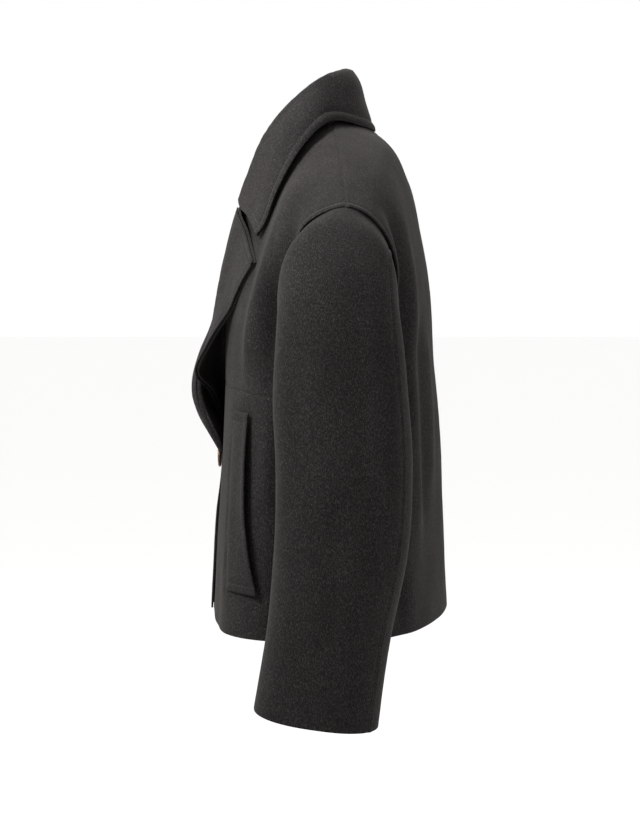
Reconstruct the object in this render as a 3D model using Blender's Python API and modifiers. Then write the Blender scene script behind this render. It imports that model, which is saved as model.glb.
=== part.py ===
"""A cropped, boxy wool coat, worn by nobody: hollow body, hanging sleeves, big turned collar,
wide notched lapels, a chest seam and a slanted welt pocket on each side.

World frame: +X is the wearer's left, -Y the front, +Z up. The origin is between the shoulders
at the nape, where the wearer carries the coat. Tables are in centimetres, meshes in metres.
Each cloth piece is an open surface, laid through guide points, with a wall given by Solidify.
"""

from collections import namedtuple

import bmesh
import bpy
import numpy as np
from mathutils import Vector
from mathutils.bvhtree import BVHTree

CM = 0.01
FAR_AHEAD = -60.0       # centimetres, in front of the whole coat
COAT = "cropped_wool_coat"

# ------------------------------------------------------------------ driving sizes, centimetres
CLOTH = 0.22            # felted wool of the body and sleeves
FACING = 0.20           # felted wool of the lapel facing
COLLAR_WALL = 0.30      # upper and under collar together
SEAM_GAP = 0.03         # between two pieces that are sewn to each other
FACING_GAP = 0.12       # between the lapel and the facing that lies on it
LAPEL_REST = 0.36       # from the chest's middle surface to the lapel's, where it lies on it
SIDE_TRIM = 0.06        # taken off a panel at the side seam
SHOULDER_TRIM = 0.10    # taken off a panel at the shoulder seam, which is a ridge
NECK_INSET = 0.49       # the stand stands this far inside the panels' neckline
ARMHOLE_STEP = 0.20     # from the armhole's edge to the sleeve's own edge
WELT_STAND = 0.75       # how far the welt's free edge stands off the front
BUTTON_RADIUS = 1.05
BUTTON_THICK = 0.36
BUTTON_LIFT = 0.05       # from the cloth to the button's back
BUTTON_X = 3.6
BUTTON_Z = -39.4

# ------------------------------------------------------------------ guide points, centimetres
# Each row crosses half of the coat, from the side seam or armhole to the centre.
FrontRow = namedtuple("FrontRow", "side flank quarter chest inner edge")
FRONT_ROWS = (
    # hem, hip, break of the lapel, chest seam
    FrontRow((24.5, -1.0, -56.8), (23.8, -7.2, -56.8), (20.2, -11.4, -56.8),
             (13.5, -13.0, -56.8), (4.2, -13.3, -56.5), (-5.5, -13.3, -56.2)),
    FrontRow((23.8, -0.9, -46.0), (22.9, -6.8, -46.0), (18.9, -10.9, -46.0),
             (11.5, -12.7, -46.0), (4.0, -12.8, -46.0), (-5.5, -12.7, -46.0)),
    FrontRow((23.2, -0.8, -38.5), (22.3, -6.3, -38.5), (17.9, -10.4, -38.5),
             (11.0, -12.35, -38.5), (4.0, -12.1, -38.5), (-5.5, -12.0, -38.5)),
    FrontRow((22.6, -0.6, -30.7), (21.7, -5.7, -30.8), (17.0, -9.9, -30.6),
             (10.5, -11.9, -30.5), (4.2, -12.3, -30.6), (-2.4, -12.6, -31.0)),
    # crossing of the two rolls, underarm, chest
    FrontRow((22.4, -0.4, -28.8), (21.6, -5.5, -28.2), (17.1, -9.6, -27.9),
             (10.5, -11.7, -27.4), (5.1, -12.2, -27.4), (0.0, -12.5, -27.6)),
    FrontRow((22.3, -0.2, -27.0), (21.5, -5.2, -25.9), (17.3, -9.3, -25.2),
             (10.6, -11.4, -24.6), (6.1, -12.0, -24.4), (2.1, -12.3, -24.4)),
    FrontRow((22.7, -3.7, -23.4), (21.2, -6.0, -21.7), (17.9, -8.3, -19.9),
             (11.6, -10.1, -18.3), (7.1, -10.95, -17.6), (3.5, -11.48, -17.4)),
    # gorge, front of the shoulder, shoulder seam
    FrontRow((23.5, -5.5, -18.4), (21.8, -6.2, -16.9), (18.9, -6.9, -14.9),
             (12.7, -7.9, -12.6), (7.9, -8.95, -11.3), (4.7, -9.88, -10.6)),
    FrontRow((24.6, -4.5, -13.7), (22.9, -4.9, -12.5), (20.2, -4.9, -10.6),
             (13.6, -5.3, -7.6), (9.4, -6.4, -6.0), (7.3, -7.0, -5.3)),
    FrontRow((25.5, -1.9, -11.1), (23.3, -2.1, -9.6), (20.1, -2.2, -7.5),
             (13.9, -2.6, -4.7), (10.6, -3.3, -3.5), (8.5, -3.6, -2.8)),
    FrontRow((26.0, 1.0, -10.1), (23.2, 0.85, -8.3), (19.4, 0.6, -6.1),
             (13.9, 0.2, -3.6), (10.8, -0.1, -2.35), (8.8, -0.4, -1.6)),
)
BREAK, CHEST_SEAM, UNDERARM, GORGE = 2, 3, 5, 7     # numbers of the rows named above
UNDERARM_BACK = 3                                   # the back's row at the underarm

# The right front lies over the left one, so its inner and edge guides stand further forward.
OverRow = namedtuple("OverRow", "inner edge")
RIGHT_OVER = (
    OverRow((4.2, -13.95, -56.6), (-5.5, -14.0, -56.4)),
    OverRow((4.0, -13.5, -46.0), (-5.5, -13.4, -46.0)),
    OverRow((4.0, -12.9, -38.5), (-5.5, -12.9, -38.5)),
    OverRow((4.9, -14.3, -30.6), (-2.4, -15.3, -31.0)),
    OverRow((4.9, -12.9, -27.4), (0.0, -14.5, -27.6)),
    OverRow((6.1, -12.1, -24.4), (2.1, -12.7, -24.4)),
)

# The lapel beyond the roll: radius of the roll and the lapel's outer edge.
LapelRow = namedtuple("LapelRow", "radius outer")
LEFT_LAPEL = (
    LapelRow(0.55, (1.2, -14.0, -32.3)),
    LapelRow(0.58, (4.8, -14.9, -29.2)),
    LapelRow(0.60, (6.9, -14.2, -26.4)),
    LapelRow(0.42, (11.6, -10.7, -20.9)),
    LapelRow(0.22, (16.0, -8.7, -16.5)),
)
RIGHT_LAPEL = (
    LapelRow(0.28, (1.2, -15.9, -32.3)),
    LapelRow(0.33, (4.2, -15.3, -29.4)),
    LapelRow(0.60, (6.9, -14.2, -26.4)),
    LapelRow(0.42, (11.6, -10.7, -20.9)),
    LapelRow(0.22, (16.0, -8.7, -16.5)),
)

BackRow = namedtuple("BackRow", "side flank quarter blade neck centre")
BACK_ROWS = (
    BackRow((24.5, -1.0, -56.8), (23.4, 3.3, -56.8), (19.8, 7.5, -56.8),
            (13.5, 10.4, -56.8), (8.0, 11.9, -56.8), (0.0, 12.9, -56.8)),
    BackRow((23.8, -0.9, -46.0), (22.7, 3.2, -46.0), (19.2, 7.2, -46.0),
            (13.2, 9.9, -46.0), (8.0, 11.4, -46.0), (0.0, 12.35, -46.0)),
    BackRow((23.0, -0.7, -36.0), (22.0, 3.1, -36.0), (18.7, 7.0, -36.0),
            (13.0, 9.7, -36.0), (8.0, 11.1, -36.0), (0.0, 11.9, -36.0)),
    BackRow((22.3, -0.2, -27.0), (21.4, 3.3, -27.2), (18.4, 6.9, -27.1),
            (13.0, 9.4, -27.0), (8.0, 10.5, -26.9), (0.0, 11.05, -26.8)),
    BackRow((22.7, 4.4, -23.6), (20.9, 6.4, -22.9), (17.6, 8.1, -22.0),
            (13.0, 9.35, -21.2), (8.0, 10.25, -20.7), (0.0, 10.7, -20.4)),
    BackRow((23.4, 6.3, -18.6), (21.2, 7.0, -17.6), (17.6, 7.8, -16.2),
            (13.0, 8.7, -14.9), (8.0, 9.4, -14.3), (0.0, 9.65, -14.1)),
    BackRow((24.4, 5.6, -14.2), (21.9, 6.2, -12.9), (17.8, 6.9, -10.9),
            (13.0, 7.4, -9.2), (8.2, 8.0, -8.3), (0.0, 8.2, -8.2)),
    BackRow((25.4, 3.5, -11.3), (22.4, 3.9, -9.6), (18.2, 4.5, -7.1),
            (13.4, 4.95, -5.2), (8.9, 5.45, -3.95), (0.0, 5.75, -3.9)),
    BackRow((26.0, 1.0, -10.1), (23.2, 0.85, -8.3), (19.4, 0.6, -6.1),
            (13.9, 0.2, -3.6), (8.8, -0.4, -1.6), (0.0, 2.3, -0.85)),
)

# Left sleeve: the highest and lowest point of each ring, and how far it reaches to front and
# back. The first ring is the armhole itself. drop lowers the back and lifts the front.
SleeveRing = namedtuple("SleeveRing", "outer inner front back drop")
SLEEVE_RINGS = (
    SleeveRing((28.0, -11.7), (23.3, -27.5), -6.0, 6.4, 0.0),
    SleeveRing((30.5, -15.0), (23.9, -28.5), -6.1, 6.5, 0.0),
    SleeveRing((32.5, -20.0), (24.2, -30.5), -6.3, 6.9, 0.0),
    SleeveRing((33.9, -27.0), (24.4, -34.0), -6.5, 7.4, 0.0),
    SleeveRing((34.8, -36.0), (24.7, -39.5), -6.25, 7.85, 0.0),
    SleeveRing((35.3, -46.0), (25.0, -47.0), -6.55, 7.4, 0.0),
    SleeveRing((35.5, -55.3), (25.3, -55.3), -7.3, 5.5, 0.3),
    SleeveRing((35.4, -63.95), (25.5, -63.1), -8.55, 4.25, 0.9),
)
BACK_SEAM_TURN = -61.0      # degrees round the ring from its outermost point, front positive
FRONT_SEAM_TURN = 125.0
RING_SQUARENESS = 2.3       # exponent of the ring's rounded outline
RING_STEPS = 26             # faces round one sleeve
ELBOW_ROW = 10              # row at which each sleeve piece is divided into two solids

# Collar: neckline, crest of the fold and lower edge of the leaf, from centre back to the tip.
CollarRow = namedtuple("CollarRow", "neck crest edge round bulge")
COLLAR_ROWS = (
    CollarRow((0.0, 2.3, -0.85), (0.0, 1.6, 4.55), (0.0, 4.3, -1.75), 1.0, 0.0),
    CollarRow((4.6, 1.0, -1.0), (4.6, 0.75, 4.5), (5.6, 2.9, -1.15), 0.9, 0.15),
    CollarRow((8.8, -0.4, -1.6), (7.7, -1.9, 3.4), (10.2, -0.8, -1.3), 0.7, 0.5),
    CollarRow((8.5, -3.6, -2.8), (8.5, -5.2, 0.7), (13.3, -3.7, -4.1), 0.6, 0.8),
    CollarRow((7.3, -7.0, -5.3), (7.8, -8.0, -2.9), (14.8, -6.2, -8.6), 0.5, 0.8),
    CollarRow((6.0, -8.7, -8.2), (6.3, -9.75, -6.9), (15.0, -7.5, -12.0), 0.4, 0.7),
    CollarRow((4.9, -9.8, -10.5), (4.75, -10.85, -9.9), (14.6, -8.5, -13.7), 0.3, 0.4),
)

# Welt pocket: top, middle and bottom of the strip, as row numbers of the front, and how far
# it lies along the row in columns (2 is the quarter guide, 3 the chest guide).
WeltRow = namedtuple("WeltRow", "row attached free")
WELT_ROWS = (
    WeltRow(2.72, 2.32, 1.70),
    WeltRow(1.90, 2.36, 1.62),
    WeltRow(1.10, 2.30, 1.50),
    WeltRow(0.44, 2.20, 1.24),
)

CHARCOAL = (0.036, 0.035, 0.034, 1.0)
HORN = (0.10, 0.055, 0.03, 1.0)


# ------------------------------------------------------------------ smooth surfaces from guides
def through(knots, values, places):
    """Values at some places of a smooth curve that passes the given values at its knots."""
    knots = np.asarray(knots, float)
    values = np.asarray(values, float)
    steps = np.maximum(np.diff(knots), 1e-6)
    slopes = np.diff(values, axis=0) / steps[:, None]
    tangents = np.empty_like(values)
    weights = steps[1:, None] + steps[:-1, None]
    tangents[1:-1] = (slopes[:-1] * steps[1:, None] + slopes[1:] * steps[:-1, None]) / weights
    tangents[0] = 1.5 * slopes[0] - 0.5 * tangents[1]
    tangents[-1] = 1.5 * slopes[-1] - 0.5 * tangents[-2]
    cell = np.clip(np.searchsorted(knots, places, side="right") - 1, 0, len(steps) - 1)
    width = steps[cell][:, None]
    t = (np.asarray(places, float)[:, None] - knots[cell][:, None]) / width
    start = values[cell] * (2 * t ** 3 - 3 * t ** 2 + 1)
    end = values[cell + 1] * (3 * t ** 2 - 2 * t ** 3)
    lean_in = tangents[cell] * width * (t ** 3 - 2 * t ** 2 + t)
    lean_out = tangents[cell + 1] * width * (t ** 3 - t ** 2)
    return start + end + lean_in + lean_out


def places_between(knots, numbers):
    """Knot places for guide numbers such as 2.25, a quarter of the way from guide 2 to 3."""
    return np.interp(numbers, np.arange(len(knots)), knots)


def numbers_for(steps):
    """Guide numbers that cut each interval into its own count of equal steps."""
    numbers = [np.linspace(i, i + 1, count, endpoint=False) for i, count in enumerate(steps)]
    return np.append(np.concatenate(numbers), len(steps))


def surface(net, row_numbers, column_numbers):
    """Grid of points on the smooth surface through a net of guide points."""
    net = np.asarray(net, float)
    spans = np.linalg.norm(np.diff(net, axis=0), axis=2).mean(axis=1)
    row_knots = np.concatenate(([0.0], np.cumsum(spans)))
    flat = net.reshape(len(net), -1)
    rows = through(row_knots, flat, places_between(row_knots, row_numbers))
    rows = rows.reshape(len(row_numbers), -1, 3)
    grid = []
    for row in rows:
        spans = np.maximum(np.linalg.norm(np.diff(row, axis=0), axis=1), 1e-4)
        knots = np.concatenate(([0.0], np.cumsum(spans)))
        grid.append(through(knots, row, places_between(knots, column_numbers)))
    return np.array(grid)


def normals(grid):
    """Normals of a grid of points, longer at a bend so that an offset keeps its distance."""
    sides = []
    for axis in (1, 0):
        steps = np.diff(grid, axis=axis)
        steps /= np.maximum(np.linalg.norm(steps, axis=2, keepdims=True), 1e-9)
        first = np.take(steps, [0], axis=axis)
        last = np.take(steps, [-1], axis=axis)
        before = np.concatenate((first, steps), axis=axis)
        after = np.concatenate((steps, last), axis=axis)
        sides.append(before + after)
        if axis == 1:
            half_cosine = np.linalg.norm(before + after, axis=2, keepdims=True) / 2
    cross = np.cross(sides[0], sides[1])
    cross /= np.maximum(np.linalg.norm(cross, axis=2, keepdims=True), 1e-9)
    return cross / np.maximum(half_cosine, 0.6)


def trimmed(grid, first_row=0.0, last_row=0.0, first_column=0.0, last_column=0.0):
    """The grid with its border rows and columns drawn in by the given lengths."""
    out = grid.copy()
    for length, edge, inner in ((first_row, 0, 1), (last_row, -1, -2)):
        if length:
            step = grid[inner] - grid[edge]
            out[edge] += step * length / np.linalg.norm(step, axis=1, keepdims=True)
    for length, edge, inner in ((first_column, 0, 1), (last_column, -1, -2)):
        if length:
            step = out[:, inner] - out[:, edge]
            out[:, edge] += step * length / np.linalg.norm(step, axis=1, keepdims=True)
    return out


def laid_ahead(grid, under, distance):
    """The grid with each point that comes too near a cloth behind it moved to the front."""
    rows, columns = under.shape[:2]
    faces = [(i * columns + j, i * columns + j + 1, (i + 1) * columns + j + 1, (i + 1) * columns + j)
             for i in range(rows - 1) for j in range(columns - 1)]
    tree = BVHTree.FromPolygons(under.reshape(-1, 3).tolist(), faces)
    out = grid.copy()
    for point in out.reshape(-1, 3):
        hit = tree.ray_cast((point[0], FAR_AHEAD, point[2]), (0.0, 1.0, 0.0))[0]
        if hit is not None:
            point[1] = min(point[1], hit.y - distance)
    return out


def mirrored(grid):
    """The same grid on the wearer's other side."""
    return grid * np.array((-1.0, 1.0, 1.0))


# ------------------------------------------------------------------ objects
def material(name, colour, roughness):
    """Plain Principled finish."""
    finish = bpy.data.materials.new(name)
    finish.use_nodes = True
    shader = finish.node_tree.nodes["Principled BSDF"]
    shader.inputs["Base Color"].default_value = colour
    shader.inputs["Roughness"].default_value = roughness
    return finish


def wall(name, grids, thickness, finish, flip=False):
    """A cloth piece: one or two joined grids as an open surface, with an even wall about it."""
    mesh = bmesh.new()
    for grid in grids:
        points = [[mesh.verts.new(point * CM) for point in row] for row in grid]
        for i in range(len(grid) - 1):
            for j in range(grid.shape[1] - 1):
                corners = [points[i][j], points[i][j + 1], points[i + 1][j + 1], points[i + 1][j]]
                mesh.faces.new(corners[::-1] if flip else corners)
    bmesh.ops.remove_doubles(mesh, verts=mesh.verts, dist=0.0003)
    data = bpy.data.meshes.new(name)
    mesh.to_mesh(data)
    mesh.free()
    data.shade_smooth()
    data.materials.append(finish)
    piece = bpy.data.objects.new(name, data)
    bpy.data.collections[COAT].objects.link(piece)
    solid = piece.modifiers.new("wall", "SOLIDIFY")
    solid.thickness = thickness * CM
    solid.offset = 0.0
    solid.use_even_offset = True


# ------------------------------------------------------------------ fronts
MAIN_STEPS = (2, 2, 3, 3, 3)            # columns between the front's guides
LAPEL_STEPS = (2, 3, 3, 3)              # columns of the roll and the lapel
ROW_STEPS = (3, 3, 4, 2, 2, 2, 2, 2, 2, 2)


def front_net(right):
    """Guide net of one front, up to its edge, roll or neckline."""
    rows = [list(row) for row in FRONT_ROWS]
    if right:
        for row, over in zip(rows, RIGHT_OVER):
            row[-2] = over.inner
            row[-1] = over.edge
    return rows


def lapel_net(right):
    """Guide net of the turned lapel, from the break to the gorge."""
    main = front_net(right)
    start = np.array(main[BREAK][-1])
    net = [[start] * 5]
    table = RIGHT_LAPEL if right else LEFT_LAPEL
    for row, lapel in zip(main[CHEST_SEAM:], table):
        root = np.array(row[-1])
        outer = np.array(lapel.outer)
        r = lapel.radius
        fold = root + np.array((-r, -r, -0.1 * r))
        top = root + np.array((0.35 * r, -2.0 * r, -0.35 * r))
        middle = 0.5 * (top + outer) + np.array((0.0, -0.22, 0.05))
        net.append([root, fold, top, middle, outer])
    return net


def front_pieces(side, right, finish):
    """Upper and lower front panel, the facing on the lapel and the pocket welt."""
    turn = mirrored if right else (lambda grid: grid)
    columns = numbers_for(MAIN_STEPS)
    main = surface(front_net(right), numbers_for(ROW_STEPS), columns)
    lapel_rows = numbers_for(ROW_STEPS[BREAK:GORGE])
    lapel = surface(lapel_net(right), lapel_rows, numbers_for(LAPEL_STEPS))
    turned = sum(LAPEL_STEPS[:2])
    lapel[:, turned:] = laid_ahead(lapel[:, turned:], main, LAPEL_REST)
    at_break = sum(ROW_STEPS[:BREAK])
    at_seam = sum(ROW_STEPS[:CHEST_SEAM])
    at_gorge = sum(ROW_STEPS[:GORGE])
    main = trimmed(main, last_row=SHOULDER_TRIM, first_column=SIDE_TRIM)
    main[at_break:at_gorge + 1, -1] = lapel[:, 0]
    lower_main = trimmed(main[:at_seam + 1], last_row=SEAM_GAP)
    upper_main = trimmed(main[at_seam:], first_row=SEAM_GAP)
    seam = at_seam - at_break
    lower_lapel = trimmed(lapel[:seam + 1], last_row=SEAM_GAP)
    upper_lapel = trimmed(lapel[seam:], first_row=SEAM_GAP)
    wall(side + "_front_lower", (turn(lower_main), turn(lower_lapel)), CLOTH, finish, flip=right)
    wall(side + "_front_upper", (turn(upper_main), turn(upper_lapel)), CLOTH, finish, flip=right)
    lift = CLOTH / 2 + FACING_GAP + FACING / 2
    facing = (lapel + normals(lapel) * lift)[2:, 1:]
    facing = trimmed(facing, first_row=0.3, last_row=0.1)
    wall(side + "_lapel_facing", (turn(facing),), FACING, finish, flip=not right)
    welt = welt_grid(front_net(right))
    wall(side + "_pocket_welt", (turn(welt),), CLOTH, finish, flip=right)


def welt_grid(net):
    """The pocket welt, made from the front's own points and moved out."""
    knots = np.arange(len(WELT_ROWS))
    table = np.array(WELT_ROWS)
    rows = through(knots, table, np.linspace(0, len(WELT_ROWS) - 1, 10))
    strips = []
    for number, attached, free in rows:
        around = np.array((number + 0.05, number, number - 0.05))
        across = np.linspace(attached, free, 5)
        grid = surface(net, around, across)
        out = -normals(grid)[1]
        if out[2][1] > 0:
            out = -out
        rise = np.linspace(0.0, 1.0, 5)[:, None] ** 2 * WELT_STAND
        strips.append(grid[1] + out * (CLOTH + SEAM_GAP + rise))
    return np.array(strips)


# ------------------------------------------------------------------ back, collar, sleeves
def back_piece(finish):
    """The back, from side seam to side seam."""
    half = [list(row) for row in BACK_ROWS]
    net = [row + [tuple(np.array(p) * (-1, 1, 1)) for p in row[-2::-1]] for row in half]
    grid = surface(net, numbers_for((3, 3, 3, 2, 2, 2, 2, 2)), numbers_for((2,) * 10))
    seam = surface(front_net(right=False), numbers_for(ROW_STEPS), np.array((0.0,)))[:, 0]
    below = grid[:, 0, 2] <= BACK_ROWS[UNDERARM_BACK].side[2]
    for column, side in ((0, 1.0), (-1, -1.0)):
        heights = grid[below, column, 2]
        grid[below, column, 0] = side * np.interp(heights, seam[:, 2], seam[:, 0])
        grid[below, column, 1] = np.interp(heights, seam[:, 2], seam[:, 1])
    grid = trimmed(grid, last_row=SHOULDER_TRIM, first_column=SIDE_TRIM, last_column=SIDE_TRIM)
    wall("back", (grid,), CLOTH, finish, flip=True)


def collar_piece(finish):
    """Stand, rounded crest and falling leaf of the collar."""
    net = []
    necks = np.array([row.neck for row in COLLAR_ROWS])
    ahead = np.gradient(np.concatenate((necks[1:2] * (-1, 1, 1), necks)), axis=0)[1:]
    inward = np.stack((ahead[:, 1], -ahead[:, 0], np.zeros(len(necks))), axis=1)
    inward /= np.linalg.norm(inward, axis=1, keepdims=True)
    for row, inset in zip(COLLAR_ROWS, inward * NECK_INSET):
        neck, crest, edge = (np.array(part) for part in (row.neck, row.crest, row.edge))
        out = edge - neck
        out[2] = 0.0
        out /= np.linalg.norm(out)
        neck += inset
        stand = neck + (crest - neck) * 0.5 - out * 0.15
        inner = crest - out * row.round * 0.7 - np.array((0, 0, row.round * 0.7))
        outer = crest + out * row.round * 0.75 - np.array((0, 0, row.round * 0.75))
        fall = outer + (edge - outer) * 0.5 + out * row.bulge * 0.5 + np.array((0, 0, row.bulge * 0.4))
        net.append([neck, stand, inner, crest, outer, fall, edge])
    net = [[tuple(p * (-1, 1, 1)) for p in row] for row in net[:0:-1]] + [list(map(tuple, row)) for row in net]
    grid = surface(net, numbers_for((3,) * 12), numbers_for((1, 1, 2, 2, 2, 2)))
    wall("collar", (grid,), COLLAR_WALL, finish, flip=False)


def armhole_ring():
    """The armhole's edge as a ring of points, from its top round the front."""
    front = [np.array(row.side) for row in FRONT_ROWS[:UNDERARM - 1:-1]]
    back = [np.array(row.side) for row in BACK_ROWS[UNDERARM_BACK + 1:-1]]
    loop = np.array(front + back + front[:1])
    spans = np.linalg.norm(np.diff(loop, axis=0), axis=1)
    knots = np.concatenate(([0.0], np.cumsum(spans)))
    quarters = knots[[0, 3, 5, 7, 10]]
    turns = np.linspace(0.0, 4.0, RING_STEPS + 1)
    ahead = np.concatenate((loop[-3:-1], loop, loop[1:3]))
    lead = knots[-1] - knots[-3:-1]
    long_knots = np.concatenate((-lead, knots, knots[-1] + knots[1:3]))
    return through(long_knots, ahead, np.interp(turns, np.arange(5), quarters))


def sleeve_grid():
    """Rings of the left sleeve, from the armhole to the cuff."""
    ring = armhole_ring()
    turns = np.linspace(0.0, 2 * np.pi, RING_STEPS + 1)
    power = 2.0 / RING_SQUARENESS
    along = np.sign(np.cos(turns)) * np.abs(np.cos(turns)) ** power
    around = np.sign(np.sin(turns)) * np.abs(np.sin(turns)) ** power
    rings = []
    for row in SLEEVE_RINGS:
        outer = np.array((row.outer[0], 0.0, row.outer[1]))
        inner = np.array((row.inner[0], 0.0, row.inner[1]))
        points = (outer + inner) / 2 + np.outer(along, (outer - inner) / 2)
        middle = (row.front + row.back) / 2
        reach = (row.back - row.front) / 2
        points[:, 1] = middle - around * reach
        points[:, 2] += around * row.drop
        rings.append(points)
    step = rings[0] - ring
    first = ring + step * ARMHOLE_STEP / np.linalg.norm(step, axis=1, keepdims=True)
    return [first] + rings


def sleeve_pieces(side, finish):
    """Top sleeve and under sleeve, which meet at the front and back seams, each in two lengths."""
    net = np.array(sleeve_grid())
    degrees = 360.0 / RING_STEPS
    rows = numbers_for((2, 2, 2, 2, 2, 2, 2, 2))
    columns = {
        "_sleeve_top": np.linspace(BACK_SEAM_TURN, FRONT_SEAM_TURN, 15) / degrees,
        "_sleeve_under": np.linspace(FRONT_SEAM_TURN, 360.0 + BACK_SEAM_TURN, 13) / degrees,
    }
    closed = np.concatenate((net[:, -8:-1], net, net[:, 1:8]), axis=1)
    for part, numbers in columns.items():
        grid = surface(closed, rows, numbers + 7)
        grid = trimmed(grid, first_column=SEAM_GAP, last_column=SEAM_GAP)
        right = side == "right"
        lengths = {
            part: trimmed(grid[:ELBOW_ROW + 1], last_row=SEAM_GAP),
            part + "_forearm": trimmed(grid[ELBOW_ROW:], first_row=SEAM_GAP),
        }
        for name, length in lengths.items():
            wall(side + name, (mirrored(length) if right else length,), CLOTH, finish, flip=not right)


def button(name, x, finish, under):
    """A turned horn button, its back just clear of the cloth it is sewn on."""
    cloth = bpy.data.objects[under]
    tree = BVHTree.FromObject(cloth, bpy.context.evaluated_depsgraph_get())
    reach = BUTTON_RADIUS * CM
    spots = [(reach * k / 4 * np.cos(a), reach * k / 4 * np.sin(a))
             for k in range(5) for a in np.linspace(0.0, 2 * np.pi, 12, endpoint=False)]
    seats = [tree.ray_cast((x * CM + dx, FAR_AHEAD * CM, BUTTON_Z * CM + dz), (0.0, 1.0, 0.0))[0]
             for dx, dz in spots]
    seats = np.array(seats)
    slopes = np.linalg.lstsq(np.c_[seats[:, [0, 2]], np.ones(len(seats))], seats[:, 1], rcond=None)[0]
    out = Vector((slopes[0], -1.0, slopes[1])).normalized()
    height = max(np.dot(seats - seats[0], out)) + (BUTTON_LIFT + BUTTON_THICK / 2) * CM
    bpy.ops.mesh.primitive_cylinder_add(vertices=24, radius=reach, depth=BUTTON_THICK * CM)
    disc = bpy.context.object
    disc.name = name
    disc.data.name = name
    disc.location = Vector(seats[0]) + out * height
    disc.rotation_euler = Vector((0.0, 0.0, 1.0)).rotation_difference(out).to_euler()
    rounding = disc.modifiers.new("rounding", "BEVEL")
    rounding.width = 0.08 * CM
    rounding.segments = 2
    disc.data.materials.append(finish)
    for owner in list(disc.users_collection):
        owner.objects.unlink(disc)
    bpy.data.collections[COAT].objects.link(disc)


def main():
    """Clears the scene and builds the coat."""
    for old in list(bpy.data.objects):
        bpy.data.objects.remove(old)
    collection = bpy.data.collections.new(COAT)
    bpy.context.scene.collection.children.link(collection)
    wool = material("charcoal_felted_wool", CHARCOAL, 0.95)
    horn = material("brown_horn", HORN, 0.35)
    back_piece(wool)
    for side in ("left", "right"):
        front_pieces(side, side == "right", wool)
        sleeve_pieces(side, wool)
    collar_piece(wool)
    button("button_over", BUTTON_X, horn, "right_front_lower")
    button("button_twin", -BUTTON_X, horn, "right_front_lower")


main()
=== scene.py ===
"""The looks of a cropped, boxy coat of felted wool, filled out as worn and held by nobody.

World frame: +X is the wearer's left, -Y the front, +Z up. Guide tables are in centimetres, meshes
in metres. Every cloth piece is a fine surface through the same guide points as its solid, with
creases pressed in, a wall of the cloth's real thickness and rounded raw edges. Pieces of
the wearer's right are worked out on the left and mirrored last.
"""

import logging
from dataclasses import dataclass, field
from enum import Enum

import bmesh
import bpy
import numpy as np
from mathutils import Euler, Matrix, Vector
from mathutils.bvhtree import BVHTree


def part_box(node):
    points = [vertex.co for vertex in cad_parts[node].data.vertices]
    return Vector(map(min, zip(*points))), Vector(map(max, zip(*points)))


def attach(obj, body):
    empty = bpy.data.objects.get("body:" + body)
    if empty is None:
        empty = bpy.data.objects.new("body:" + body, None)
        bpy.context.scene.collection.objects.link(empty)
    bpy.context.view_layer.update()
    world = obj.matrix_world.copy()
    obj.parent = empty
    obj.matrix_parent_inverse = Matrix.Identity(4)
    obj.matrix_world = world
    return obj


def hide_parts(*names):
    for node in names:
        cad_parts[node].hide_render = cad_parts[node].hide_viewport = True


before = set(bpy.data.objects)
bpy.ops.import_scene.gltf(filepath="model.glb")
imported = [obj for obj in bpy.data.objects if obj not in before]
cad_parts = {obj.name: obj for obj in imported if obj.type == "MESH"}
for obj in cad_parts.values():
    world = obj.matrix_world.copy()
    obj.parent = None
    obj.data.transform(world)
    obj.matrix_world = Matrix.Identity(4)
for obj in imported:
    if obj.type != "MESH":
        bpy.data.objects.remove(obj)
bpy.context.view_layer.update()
LOG = logging.getLogger("wool_coat")

CM = 0.01
FAR_AHEAD = -60.0                       # centimetres, in front of the whole coat
FINE_STEPS = np.arange(13) * 0.115      # centimetres from a stitched border to the grid lines beside it
FINE_ROOM = 4.0                         # shortest stretch, in centimetres, that takes those lines
Point = tuple[float, float, float]
Spot = tuple[float, float]


# ------------------------------------------------------------------ smooth surfaces from guides
def through(knots: np.ndarray, values: np.ndarray, places: np.ndarray) -> np.ndarray:
    """Follows a smooth curve that passes the given values at its knots.

    Args:
        knots: Rising places along the curve.
        values: One value, or row of values, for each knot.
        places: Where the curve is wanted.

    Returns:
        The curve's values at those places.
    """
    steps = np.maximum(np.diff(knots), 1e-6)
    slopes = np.diff(values, axis=0) / steps[:, None]
    tangents = np.empty_like(values)
    weights = steps[1:, None] + steps[:-1, None]
    tangents[1:-1] = (slopes[:-1] * steps[1:, None] + slopes[1:] * steps[:-1, None]) / weights
    tangents[0] = 1.5 * slopes[0] - 0.5 * tangents[1]
    tangents[-1] = 1.5 * slopes[-1] - 0.5 * tangents[-2]
    cell = np.clip(np.searchsorted(knots, places, side="right") - 1, 0, len(steps) - 1)
    width = steps[cell][:, None]
    t = (np.asarray(places, float)[:, None] - knots[cell][:, None]) / width
    ends = values[cell] * (2 * t ** 3 - 3 * t ** 2 + 1) + values[cell + 1] * (3 * t ** 2 - 2 * t ** 3)
    lean = tangents[cell] * (t ** 3 - 2 * t ** 2 + t) + tangents[cell + 1] * (t ** 3 - t ** 2)
    return ends + lean * width


def arc_knots(points: np.ndarray) -> np.ndarray:
    """Distances of a row of points from its first one, along the row."""
    spans = np.maximum(np.linalg.norm(np.diff(points, axis=0), axis=-1), 1e-4)
    return np.concatenate(([0.0], np.cumsum(spans)))


def row_knots(net: np.ndarray) -> np.ndarray:
    """Mean distances of a net's rows from its first row."""
    spans = np.linalg.norm(np.diff(net, axis=0), axis=2).mean(axis=1)
    return np.concatenate(([0.0], np.cumsum(spans)))


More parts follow.
